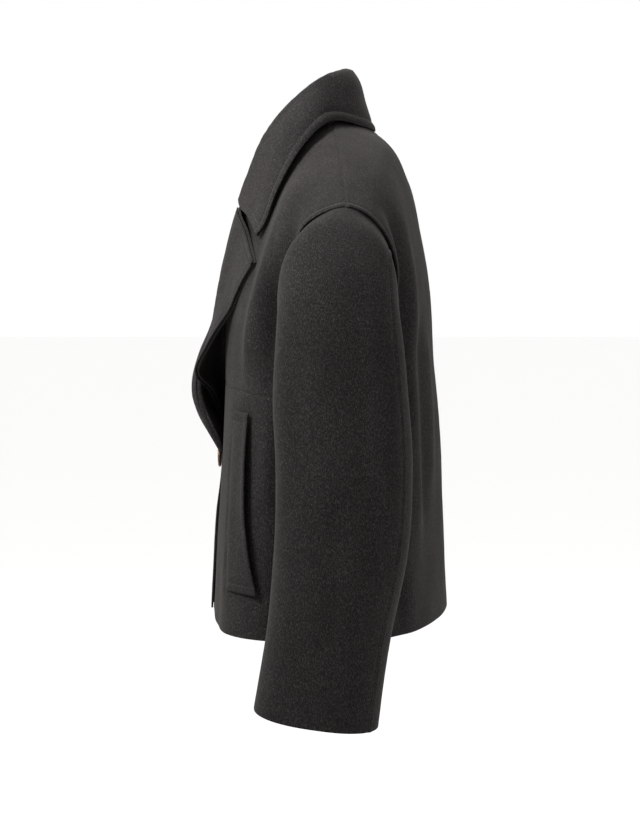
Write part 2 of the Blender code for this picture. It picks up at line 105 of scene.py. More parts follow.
def surface(net: np.ndarray, row_numbers: np.ndarray, column_numbers: np.ndarray) -> np.ndarray:
    """Lays a smooth surface through a net of guide points.

    Args:
        net: Guide points, rows by columns by 3, in centimetres.
        row_numbers: Guide numbers of the wanted rows, such as 2.25.
        column_numbers: Guide numbers of the wanted columns.

    Returns:
        The grid of points at those rows and columns.
    """
    knots = row_knots(net)
    places = np.interp(row_numbers, np.arange(len(knots)), knots)
    rows = through(knots, net.reshape(len(net), -1), places).reshape(len(row_numbers), -1, 3)
    grid = []
    for row in rows:
        knots = arc_knots(row)
        grid.append(through(knots, row, np.interp(column_numbers, np.arange(len(knots)), knots)))
    return np.array(grid)


def graded(knots: np.ndarray, coarse: float, dense: tuple[float, ...] = ()) -> np.ndarray:
    """Guide numbers at an even spacing, and closer together beside stitched lines.

    Args:
        knots: Distances of the guides from the first one.
        coarse: Spacing away from any stitched line.
        dense: Guide numbers of the stitched lines.

    Returns:
        Rising guide numbers, every guide in ``dense`` among them.
    """
    lines = np.interp(dense, np.arange(len(knots)), knots)
    stops = np.unique(np.concatenate(([knots[0], knots[-1]], lines)))
    places = [stops[:1]]
    for low, high in zip(stops[:-1], stops[1:]):
        fine = FINE_STEPS[1:]
        roomy = high - low > FINE_ROOM
        marks = [low]
        if low in lines and roomy:
            marks.extend(low + fine)
        tail = high - fine[::-1] if high in lines and roomy else np.array([])
        goal = tail[0] if len(tail) else high
        count = max(int(round((goal - marks[-1]) / coarse)), 1)
        marks.extend(np.linspace(marks[-1], goal, count + 1)[1:])
        marks.extend(tail[1:])
        if len(tail):
            marks.append(high)
        places.append(np.array(marks[1:]))
    return np.interp(np.unique(np.concatenate(places)), knots, np.arange(len(knots)))


def respaced(grid: np.ndarray, coarse: float, start: bool, end: bool) -> np.ndarray:
    """Moves a grid's columns so that they keep their distance from a stitched border.

    Args:
        grid: Rows by columns by 3.
        coarse: Spacing in the middle of a row.
        start: Whether the first column is stitched.
        end: Whether the last column is stitched.

    Returns:
        The same surface with its columns at even, or near a stitched border finer, distances.
    """
    lengths = np.array([arc_knots(row)[-1] for row in grid])
    inner = max(np.median(lengths) - FINE_STEPS[-1] * (start + end), coarse)
    count = max(int(round(inner / coarse)), 3)
    out = []
    for row, length in zip(grid, lengths):
        fine = FINE_STEPS * min(1.0, length / (FINE_ROOM + 0.5))
        head = fine if start else np.array([0.0])
        tail = length - fine[::-1] if end else np.array([length])
        middle = np.linspace(head[-1], tail[0], count + 1)[1:-1]
        out.append(through(arc_knots(row), row, np.concatenate((head, middle, tail))))
    return np.array(out)


def normals(grid: np.ndarray) -> np.ndarray:
    """Unit normals of a grid, on the side of its columns' direction crossed with its rows'."""
    return unit(np.cross(np.gradient(grid, axis=1), np.gradient(grid, axis=0)))


def unit(vectors: np.ndarray) -> np.ndarray:
    """The vectors at length one."""
    return vectors / np.maximum(np.linalg.norm(vectors, axis=-1, keepdims=True), 1e-9)


def trimmed(grid: np.ndarray, rows: Spot = (0.0, 0.0), columns: Spot = (0.0, 0.0)) -> np.ndarray:
    """Draws a grid's borders in by small lengths, for the gap of a seam.

    Args:
        grid: Rows by columns by 3.
        rows: Lengths off the first and the last row.
        columns: Lengths off the first and the last column.

    Returns:
        The grid with its border points moved inward.
    """
    out = grid.copy()
    for length, edge, inner in ((rows[0], 0, 1), (rows[1], -1, -2)):
        out[edge] += unit(grid[inner] - grid[edge]) * length
    for length, edge, inner in ((columns[0], 0, 1), (columns[1], -1, -2)):
        out[:, edge] += unit(out[:, inner] - out[:, edge]) * length
    return out


def laid_ahead(grid: np.ndarray, under: np.ndarray, distance: float, blend: float) -> np.ndarray:
    """Moves points that come too near a cloth behind them to the front.

    Args:
        grid: Points of the cloth on top.
        under: Grid of the cloth that it lies on.
        distance: Least distance between the two, front to back.
        blend: Length over which the move fades in.

    Returns:
        The grid, lying ahead of the other one.
    """
    rows, columns = under.shape[:2]
    faces = [(i * columns + j, i * columns + j + 1, (i + 1) * columns + j + 1, (i + 1) * columns + j)
             for i in range(rows - 1) for j in range(columns - 1)]
    tree = BVHTree.FromPolygons(under.reshape(-1, 3).tolist(), faces)
    out = grid.copy()
    for point in out.reshape(-1, 3):
        hit = tree.ray_cast((point[0], FAR_AHEAD, point[2]), (0.0, 1.0, 0.0))[0]
        if hit is not None:
            spare = hit.y - distance - point[1]
            point[1] = hit.y - distance - 0.5 * (spare + np.hypot(spare, blend))
    return out


# ------------------------------------------------------------------ creases
class Side(Enum):
    """The wearer's side that a piece belongs to."""

    LEFT = "left"
    RIGHT = "right"


class Border(Enum):
    """A border of a grid: whether it is the last one, and whether it is a column."""

    FIRST_ROW = (False, False)
    LAST_ROW = (True, False)
    FIRST_COLUMN = (False, True)
    LAST_COLUMN = (True, True)


class Seen(Enum):
    """From where a crease is drawn: the two axes of its path, and the axis it is looked at along."""

    SIDE = (1, 2, 0)
    FACE = (0, 2, 1)


@dataclass(frozen=True)
class Crease:
    """A soft ridge or trough that the cloth's weight pulls into a piece.

    Attributes:
        path: Places along it, in centimetres, in the two axes of ``seen``.
        height: Height of the ridge, or less than 0 for a trough.
        width: Distance from its middle at which it has faded to about a third.
        seen: Direction it is drawn from.
        lean: From -1 to 1, how much steeper one flank is than the other.
        side: Sign of the surface normal, along the line of sight, that the crease belongs to.
    """

    path: tuple[Spot, ...]
    height: float
    width: float
    seen: Seen = Seen.SIDE
    lean: float = 0.0
    side: float = 0.0

    def push(self, places: np.ndarray, ups: np.ndarray) -> np.ndarray:
        """Works out how far the crease lifts each point.

        Args:
            places: Points of the surface.
            ups: Surface normals there.

        Returns:
            The lift of every point along its normal.
        """
        first, second, along = self.seen.value
        flat = places[:, (first, second)]
        guides = np.array(self.path, float)
        line = through(arc_knots(guides), guides, np.linspace(0, arc_knots(guides)[-1], 40))
        knots = arc_knots(line)
        starts, steps = line[:-1], np.diff(line, axis=0)
        offset = flat[:, None, :] - starts[None]
        t = np.clip((offset * steps).sum(2) / (steps ** 2).sum(1), 0.0, 1.0)
        away = offset - t[..., None] * steps
        distance = np.linalg.norm(away, axis=2)
        nearest = distance.argmin(axis=1)
        pick = np.arange(len(flat))
        step, gap = steps[nearest], away[pick, nearest]
        turn = step[:, 0] * gap[:, 1] - step[:, 1] * gap[:, 0]
        along_line = (knots[nearest] + t[pick, nearest] * np.diff(knots)[nearest]) / knots[-1]
        reach = self.width * np.where(turn > 0, 1.0 + self.lean, 1.0 - self.lean)
        fade = np.clip(np.minimum(along_line, 1.0 - along_line) / 0.22, 0.0, 1.0)
        facing = ups[:, along] * self.side if self.side else np.abs(ups[:, along])
        turned = np.clip((facing - 0.02) / 0.28, 0.0, 1.0)
        soft = fade * fade * (3 - 2 * fade) * turned * turned * (3 - 2 * turned)
        return self.height * soft * np.exp(-(distance[pick, nearest] / reach) ** 2)


def unevenness(places: np.ndarray, seed: float) -> np.ndarray:
    """Slow, shallow waves that keep a hanging cloth from being perfectly smooth.

    Args:
        places: Points of the surface.
        seed: Number that sets where the waves lie.

    Returns:
        The height of the waves at each point, in centimetres.
    """
    x, y, z = places.T
    wide = np.sin(x * 0.31 + 0.23 * z + seed) + np.sin(y * 0.37 - 0.17 * z + 2.1 * seed)
    mid = np.sin(0.83 * x + 0.29 * z + 1.7 * seed) * np.sin(0.71 * y - 0.41 * z + seed)
    small = np.sin(1.9 * x - 1.3 * z + seed) * np.sin(1.7 * y + 1.1 * z)
    return 0.035 * wide + 0.03 * mid + 0.008 * small


# ------------------------------------------------------------------ finishes
def linear(code: str) -> tuple[float, float, float, float]:
    """Turns an sRGB hex colour to a linear one."""
    values = [int(code[i:i + 2], 16) / 255 for i in (1, 3, 5)]
    return (*[v / 12.92 if v <= 0.04045 else ((v + 0.055) / 1.055) ** 2.4 for v in values], 1.0)


def add_node(tree: bpy.types.NodeTree, kind: str, links: dict | None = None,
             **settings: object) -> bpy.types.Node:
    """Adds a node with its settings, values and links.

    Args:
        tree: Node tree to add to.
        kind: The node's type name.
        links: For each input, by name or number, a socket to link from or a value to set.
        settings: Properties of the node itself.

    Returns:
        The new node.
    """
    node = tree.nodes.new(kind)
    for key, value in settings.items():
        setattr(node, key, value)
    fill(node, links or {})
    return node


def fill(node: bpy.types.Node, links: dict) -> None:
    """Sets a node's inputs, or links them where a socket is given.

    Args:
        node: The node.
        links: For each input, by name or number, a socket or a value.
    """
    for key, value in links.items():
        if isinstance(value, bpy.types.NodeSocket):
            node.id_data.links.new(value, node.inputs[key])
        else:
            node.inputs[key].default_value = value


def begin_finish(name: str) -> tuple[bpy.types.Material, bpy.types.Node, bpy.types.NodeSocket]:
    """Starts a material.

    Args:
        name: Name of the real material.

    Returns:
        The material, its shader and the place on the object.
    """
    finish = bpy.data.materials.new(name)
    finish.use_nodes = True
    place = add_node(finish.node_tree, "ShaderNodeTexCoord").outputs["Object"]
    return finish, finish.node_tree.nodes["Principled BSDF"], place


def show(name: str, mesh: bmesh.types.BMesh, finish: bpy.types.Material | None = None) -> bpy.types.Object:
    """Makes an object of the scene from worked-out faces.

    Args:
        name: Name of the object.
        mesh: Its faces, which are freed.
        finish: Its material, if it is to be seen.

    Returns:
        The new object, at the origin.
    """
    data = bpy.data.meshes.new(name)
    mesh.to_mesh(data)
    mesh.free()
    if finish:
        data.shade_smooth()
        data.materials.append(finish)
    piece = bpy.data.objects.new(name, data)
    bpy.context.scene.collection.objects.link(piece)
    return piece


@dataclass(frozen=True)
class FeltedWool:
    """Felted melton wool: milled and brushed, so a short nap hides the weave and scatters light.

    Attributes:
        name: Name of the material.
        dark: Colour of the dyed fibres.
        light: Colour of the undyed fibres that give the heather speckle.
        tuft: Size of a tuft in millimetres. Real ones are 0.3 mm and are drawn coarser to show.
        clump: How much coarser than a tuft the clumps of light fibres are spread.
        patch: Size in millimetres of the patches that the milling leaves a little lighter.
        speckle: Share of the light fibres' colour at full strength.
        nap: Height of the nap in millimetres.
    """

    name: str = "felted_melton_wool"
    dark: str = "#141313"
    light: str = "#474441"
    tuft: float = 0.72
    clump: float = 0.62
    patch: float = 38.5
    speckle: float = 0.55
    nap: float = 0.35

    def build(self) -> bpy.types.Material:
        """Makes the material.

        Returns:
            The finished material.
        """
        finish, shader, spot = begin_finish(self.name)
        tree = finish.node_tree
        place = add_node(tree, "ShaderNodeMapping", {"Vector": spot, "Scale": (1.0, 1.0, 0.5)}).outputs[0]
        per_metre = 1000.0 / self.tuft
        fibres = add_node(tree, "ShaderNodeTexNoise", {"Vector": place, "Scale": per_metre,
                                                      "Detail": 3.0, "Roughness": 0.65})
        flecks = add_node(tree, "ShaderNodeTexNoise", {"Vector": place, "Scale": per_metre * self.clump,
                                                      "Detail": 4.0, "Roughness": 0.7, "Distortion": 0.15})
        clouds = add_node(tree, "ShaderNodeTexNoise", {"Vector": place, "Scale": 1000.0 / self.patch,
                                                      "Detail": 3.0})
        fleck = add_node(tree, "ShaderNodeMapRange", {"Value": flecks.outputs["Fac"], "From Min": 0.47,
                                                     "From Max": 0.74, "To Min": 0.0,
                                                     "To Max": self.speckle}).outputs[0]
        heather = add_node(tree, "ShaderNodeMix", {0: fleck, 6: linear(self.dark), 7: linear(self.light)},
                           data_type="RGBA").outputs[2]
        shade = add_node(tree, "ShaderNodeMapRange", {"Value": clouds.outputs["Fac"], "From Min": 0.3,
                                                     "From Max": 0.7, "To Min": 0.86,
                                                     "To Max": 1.12}).outputs[0]
        toned = add_node(tree, "ShaderNodeMix", {0: 1.0, 6: heather, 7: shade}, data_type="RGBA",
                         blend_type="MULTIPLY").outputs[2]
        bump = add_node(tree, "ShaderNodeBump", {"Height": fibres.outputs["Fac"], "Strength": 0.55,
                                                 "Distance": self.nap / 1000.0})
        fill(shader, {"Base Color": toned, "Normal": bump.outputs["Normal"], "Roughness": 0.95,
                      "Specular IOR Level": 0.08, "Sheen Weight": 0.05, "Sheen Roughness": 0.45,
                      "Sheen Tint": linear("#b5aea6")})
        return finish


@dataclass(frozen=True)
class TurnedHorn:
    """Buffalo horn, turned and polished: streaked brown with a soft gloss.

    Attributes:
        name: Name of the material.
        dark: Colour of the horn between its streaks.
        light: Colour of the streaks.
        streak: Width of a streak in millimetres.
    """

    name: str = "turned_horn"
    dark: str = "#2a1b12"
    light: str = "#7a5636"
    streak: float = 2.38

    def build(self) -> bpy.types.Material:
        """Makes the material.

        Returns:
            The finished material.
        """
        finish, shader, place = begin_finish(self.name)
        tree = finish.node_tree
        turned = add_node(tree, "ShaderNodeMapping", {"Vector": place, "Scale": (1.0, 0.35, 0.25)})
        streaks = add_node(tree, "ShaderNodeTexNoise", {"Vector": turned.outputs[0],
                                                       "Scale": 1000.0 / self.streak,
                                                       "Detail": 5.0, "Distortion": 1.2})
        ramp = add_node(tree, "ShaderNodeMapRange", {"Value": streaks.outputs["Fac"], "From Min": 0.38,
                                                    "From Max": 0.66})
        colour = add_node(tree, "ShaderNodeMix", {0: ramp.outputs[0], 6: linear(self.dark),
                                                 7: linear(self.light)}, data_type="RGBA")
        fill(shader, {"Base Color": colour.outputs[2], "Roughness": 0.28, "IOR": 1.54})
        return finish


@dataclass(frozen=True)
class SpunThread:
    """Spun polyester thread: two twisted plies with a faint lustre.

    Attributes:
        name: Name of the material.
        colour: Colour of the dyed thread.
        ply: Length of a turn of the twist in millimetres.
    """

    name: str = "spun_polyester_thread"
    colour: str = "#151414"
    ply: float = 0.5

    def build(self) -> bpy.types.Material:
        """Makes the material.

        Returns:
            The finished material.
        """
        finish, shader, place = begin_finish(self.name)
        tree = finish.node_tree
        twist = add_node(tree, "ShaderNodeTexNoise", {"Vector": place, "Scale": 1000.0 / self.ply})
        bump = add_node(tree, "ShaderNodeBump", {"Height": twist.outputs["Fac"], "Strength": 0.4,
                                                 "Distance": 0.0001})
        fill(shader, {"Base Color": linear(self.colour), "Normal": bump.outputs["Normal"], "Roughness": 0.7})
        return finish


# ------------------------------------------------------------------ cloth and thread
@dataclass
class Groove:
    """A line of machine stitches that draws the cloth in a little.

    Attributes:
        points: The line, in centimetres.
        ups: Surface normals along it.
        depth: How far the cloth is drawn in.
        width: Distance from the line at which that has faded to about a third.
        sewn: Whether thread shows in it.
    """

    points: np.ndarray
    ups: np.ndarray
    depth: float = 0.05
    width: float = 0.17
    sewn: bool = True

    @classmethod
    def beside(cls, grid: np.ndarray, border: Border, inset: float, span: Spot = (0.0, 1.0),
               **form: float | bool) -> "Groove":
        """Finds the line that runs beside a grid's border.

        Args:
            grid: Rows by columns by 3.
            border: Which border.
            inset: Distance of the line from it.
            span: Fractions of the border's length at which the line starts and ends.
            form: Depth, width and sewn, where they aren't the usual ones.

        Returns:
            The groove along that line.
        """
        last, column = border.value
        sheet, facing = grid, normals(grid)
        if not column:
            sheet, facing = sheet.transpose(1, 0, 2), facing.transpose(1, 0, 2)
        if last:
            sheet, facing = sheet[:, ::-1], facing[:, ::-1]
        low, high = (int(round(part * (len(sheet) - 1))) for part in span)
        points, ups = [], []
        for row, up in zip(sheet[low:high + 1], facing[low:high + 1]):
            knots = arc_knots(row)
            place = min(inset, 0.45 * knots[-1])
            points.append([np.interp(place, knots, row[:, axis]) for axis in range(3)])
            ups.append([np.interp(place, knots, up[:, axis]) for axis in range(3)])
        return cls(np.array(points), unit(np.array(ups)), **form)

    def distances(self, places: np.ndarray) -> np.ndarray:
        """Measures how far places are from the line.

        Args:
            places: Points of the surface.

        Returns:
            The distance of each one from the nearest point of the line.
        """
        nearest = np.full(len(places), np.inf)
        for start, end in zip(self.points[:-1], self.points[1:]):
            step = end - start
            t = np.clip((places - start) @ step / max(step @ step, 1e-9), 0.0, 1.0)
            nearest = np.minimum(nearest, np.linalg.norm(places - start - t[:, None] * step, axis=1))
        return nearest


@dataclass
class ClothPiece:
    """One cut piece of cloth.

    Attributes:
        name: Name of the piece.
        grids: Joined grids of its middle surface, worked out on the wearer's left.
        thickness: Thickness of the cloth in centimetres.
        stands_for: Nodes that it is shown in place of.
        finish: Its material.
        outside: A point far out on the side that shows.
        creases: Creases in it.
        grooves: Stitched lines in it.
        right: Whether it belongs on the wearer's right.
        seed: Number that sets its unevenness.
        probe: Fractions along the first grid of the point that is compared with ``outside``.
        join: Points of two grids closer than this are one.
        rounding: Radius of a raw edge, as a share of the thickness.
    """

    name: str
    grids: list[np.ndarray]
    thickness: float
    stands_for: tuple[str, ...]
    finish: bpy.types.Material
    outside: Point
    creases: tuple[Crease, ...] = ()
    grooves: list[Groove] = field(default_factory=list)
    right: bool = False
    seed: float = 0.0
    probe: Spot = (0.5, 0.5)
    join: float = 0.004
    rounding: float = 0.28

    def build(self) -> bpy.types.Object:
        """Returns:
            The finished object.
        """
        sign = self.outward()
        mesh = bmesh.new()
        for grid in self.grids:
            points = [[mesh.verts.new(point) for point in row] for row in grid]
            for low, high in zip(points[:-1], points[1:]):
                for j in range(len(low) - 1):
                    corners = [low[j], low[j + 1], high[j + 1], high[j]]
                    mesh.faces.new(corners[::-1] if sign < 0 else corners)
        bmesh.ops.remove_doubles(mesh, verts=mesh.verts, dist=self.join)
        mesh.normal_update()
        places = np.array([v.co for v in mesh.verts])
        ups = np.array([v.normal for v in mesh.verts])
        moved = places + ups * self.lift(places, ups)[:, None]
        for vertex, place in zip(mesh.verts, moved):
            vertex.co = Vector(place * (-CM if self.right else CM, CM, CM))
        if self.right:
            bmesh.ops.reverse_faces(mesh, faces=mesh.faces)
        piece = show(self.name + "_cloth", mesh, self.finish)
        wall = piece.modifiers.new("wall", "SOLIDIFY")
        wall.thickness = self.thickness * CM
        wall.offset = 0.0
        wall.use_even_offset = False
        edge = piece.modifiers.new("rounded_edge", "BEVEL")
        edge.width = self.rounding * self.thickness * CM
        edge.segments = 2
        edge.limit_method = "ANGLE"
        edge.angle_limit = np.radians(55.0)
        self.declare(piece)
        return piece

    def outward(self) -> float:
        """Tells on which side of the first grid the cloth's outside is.

        Returns:
            1 if the grid's normals look out, -1 if they look in.
        """
        grid = self.grids[0]
        i, j = (int(part * (count - 1)) for part, count in zip(self.probe, grid.shape[:2]))
        return float(np.sign(np.dot(normals(grid)[i, j], np.array(self.outside) - grid[i, j])))

    def lift(self, places: np.ndarray, ups: np.ndarray) -> np.ndarray:
        """Adds up creases, stitched lines and unevenness.

        Args:
            places: Points of the middle surface.
            ups: Outward normals there.

        Returns:
            How far each point is lifted along its normal.
        """
        lift = unevenness(places, self.seed)
        for crease in self.creases:
            lift += crease.push(places, ups)
        for groove in self.grooves:
            reach = 3.0 * groove.width
            low, high = groove.points.min(axis=0) - reach, groove.points.max(axis=0) + reach
            near = np.flatnonzero(((places >= low) & (places <= high)).all(axis=1))
            lift[near] -= groove.depth * np.exp(-(groove.distances(places[near]) / groove.width) ** 2)
        return lift

    def declare(self, piece: bpy.types.Object) -> None:
        """Works out the piece's length and area, attaches it to the root and hides the nodes that it stands
        for.

        Args:
            piece: The finished object.
        """
        length = max(arc_knots(column)[-1] for column in self.grids[0].transpose(1, 0, 2))
        area = sum(np.linalg.norm(np.cross(np.diff(grid, axis=1)[:-1], np.diff(grid, axis=0)[:, :-1]),
                                  axis=2).sum() for grid in self.grids)
        area *= CM * CM
        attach(piece, "root")
        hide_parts(*self.stands_for)


@dataclass
class Topstitching:
    """Machine stitches along the grooves of a piece, made with geometry nodes.

    Attributes:
        name: Name of the piece of thread.
        finish: Material of the thread.
        pitch: Distance from one stitch to the next, in millimetres.
        length: Length of thread that shows in a stitch, in millimetres.
        width: Thickness of the thread, in millimetres.
        seed: Number that sets the small turns of the stitches.
        search: How far off the line, in centimetres, the cloth below a stitch is looked for from.
    """

    name: str
    finish: bpy.types.Material
    pitch: float = 3.6
    length: float = 2.5
    width: float = 0.45
    seed: int = 7
    search: float = 0.4

    def build(self, cloth: bpy.types.Object, grooves: list[Groove], right: bool, outward: float) -> None:
        """Sews the lines onto a cloth.

        Args:
            cloth: The finished cloth piece.
            grooves: Its stitched lines.
            right: Whether the cloth is on the wearer's right.
            outward: 1 if the lines' normals look out, -1 if they look in.
        """
        shown = cloth.evaluated_get(bpy.context.evaluated_depsgraph_get())
        tree = BVHTree.FromObject(shown, bpy.context.evaluated_depsgraph_get())
        seat = 0.08 * self.width / 1000
        flip = np.array((-CM if right else CM, CM, CM))
        lines = bmesh.new()
        for groove in grooves:
            before = None
            for point, up in zip(groove.points, groove.ups):
                start = Vector((point + up * self.search * outward) * flip)
                hit = tree.find_nearest(start)[0]
                vertex = lines.verts.new(hit + (start - hit).normalized() * seat)
                if before is not None:
                    lines.edges.new((before, vertex))
                before = vertex
        thread = show(self.name, lines)
        self.run(thread)
        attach(thread, "root")
        LOG.info("%s: %d faces", thread.name, len(thread.data.polygons))

    def run(self, thread: bpy.types.Object) -> None:
        """Turns the lines of an object to stitches and keeps them as its mesh.

        Args:
            thread: The object whose edges are the lines.
        """
        tree = bpy.data.node_groups.get("stitches") or self.tree()
        sew = thread.modifiers.new("stitches", "NODES")
        sew.node_group = tree
        sizes = {"Pitch": self.pitch / 1000, "Length": self.length / 1000, "Width": self.width / 1000,
                 "Seed": self.seed, "Thread": self.finish}
        for item in tree.interface.items_tree:
            if item.item_type == "SOCKET" and item.in_out == "INPUT" and item.name in sizes:
                sew[item.identifier] = sizes[item.name]
        made = bpy.data.meshes.new_from_object(
            thread.evaluated_get(bpy.context.evaluated_depsgraph_get()))
        thread.modifiers.remove(sew)
        lines, thread.data = thread.data, made
        bpy.data.meshes.remove(lines)
        made.name = thread.name

    @staticmethod
    def tree() -> bpy.types.NodeTree:
        """Builds the node tree that sews stitches along lines.

        Returns:
            The tree, with inputs for the stitches' sizes, seed and thread.
        """
        tree = bpy.data.node_groups.new("stitches", "GeometryNodeTree")
        new = tree.interface.new_socket
        new("Geometry", in_out="INPUT", socket_type="NodeSocketGeometry")
        for name in ("Pitch", "Length", "Width"):
            new(name, in_out="INPUT", socket_type="NodeSocketFloat")
        new("Seed", in_out="INPUT", socket_type="NodeSocketInt")
        new("Thread", in_out="INPUT", socket_type="NodeSocketMaterial")
        new("Geometry", in_out="OUTPUT", socket_type="NodeSocketGeometry")
        given = tree.nodes.new("NodeGroupInput").outputs
        line = add_node(tree, "GeometryNodeMeshToCurve", {0: given["Geometry"]})
        spots = add_node(tree, "GeometryNodeResampleCurve", {"Curve": line.outputs[0],
                                                            "Length": given["Pitch"]}, mode="LENGTH")
        ahead = add_node(tree, "GeometryNodeInputTangent")
        wobble = add_node(tree, "FunctionNodeRandomValue", {"Min": (-0.09, -0.09, -0.09),
                                                           "Max": (0.09, 0.09, 0.09),
                                                           "Seed": given["Seed"]}, data_type="FLOAT_VECTOR")
        bent = add_node(tree, "ShaderNodeVectorMath", {0: ahead.outputs[0], 1: wobble.outputs[0]},
                        operation="ADD")
        turn = add_node(tree, "FunctionNodeAlignRotationToVector", {"Vector": bent.outputs[0]}, axis="X")
        bead = add_node(tree, "GeometryNodeMeshUVSphere", {"Segments": 7, "Rings": 5, "Radius": 0.5})
        size = add_node(tree, "ShaderNodeCombineXYZ", {0: given["Length"], 1: given["Width"],
                                                      2: given["Width"]})
        stitch = add_node(tree, "GeometryNodeTransform", {0: bead.outputs[0], "Scale": size.outputs[0]})
        rounded = add_node(tree, "GeometryNodeSetShadeSmooth", {0: stitch.outputs[0]})
        sewn = add_node(tree, "GeometryNodeInstanceOnPoints", {"Points": spots.outputs[0],
                                                              "Instance": rounded.outputs[0],
                                                              "Rotation": turn.outputs[0]})
        real = add_node(tree, "GeometryNodeRealizeInstances", {0: sewn.outputs[0]})
        dressed = add_node(tree, "GeometryNodeSetMaterial", {0: real.outputs[0],
                                                            "Material": given["Thread"]})
        add_node(tree, "NodeGroupOutput", {0: dressed.outputs[0]})
        return tree


@dataclass
class Wardrobe:
    """The finishes that all the sub-assemblies share.

    Attributes:
        wool: Cloth of every piece.
        horn: Horn of the buttons.
        thread: Thread of the topstitching and the buttons.
    """

    wool: bpy.types.Material
    horn: bpy.types.Material
    thread: bpy.types.Material

    def sew(self, cloth: ClothPiece) -> bpy.types.Object:
        """Builds a cloth piece and the thread in its sewn grooves.

        Args:
            cloth: The piece to build.

        Returns:
            The finished cloth.
        """
        piece = cloth.build()
        sewn = [groove for groove in cloth.grooves if groove.sewn]
        if sewn:
            stitches = Topstitching(cloth.name + "_stitches", self.thread)
            stitches.build(piece, sewn, cloth.right, cloth.outward())
        return piece


# ------------------------------------------------------------------ fronts
SPACING, LAPEL_SPACING = 0.55, 0.32     # centimetres between the lines of a cloth's grid
PAST_ROLL = 12                          # first column of the lapel that lies on the chest
CLOTH, FACING, COLLAR_WALL = 0.22, 0.20, 0.30
SEAM_GAP, SHOULDER_TRIM = 0.015, 0.03
ALLOWANCE, ALLOWANCE_DROP = 0.4, 0.26   # how far the front's edge reaches under the back, and below it
BREAK, CHEST_SEAM, UNDERARM, GORGE, SHOULDER_ROW = 2, 3, 5, 7, 10    # guide rows of a front
BACK_UNDERARM, BACK_SHOULDER = 3, 8     # guide rows of the back
# how seams show: cloth puffed up beside an armhole, and the lines of the shoulder and chest seams
PUFFED = {"depth": -0.13, "width": 0.34, "sewn": False}
SHOULDER_LINE = {"depth": 0.2, "width": 0.24, "sewn": False}
CHEST_LINE = {"depth": 0.09, "width": 0.22, "sewn": False}
CHEST_SPAN = (0.0, 0.75)                # the chest seam fades out under the lapel


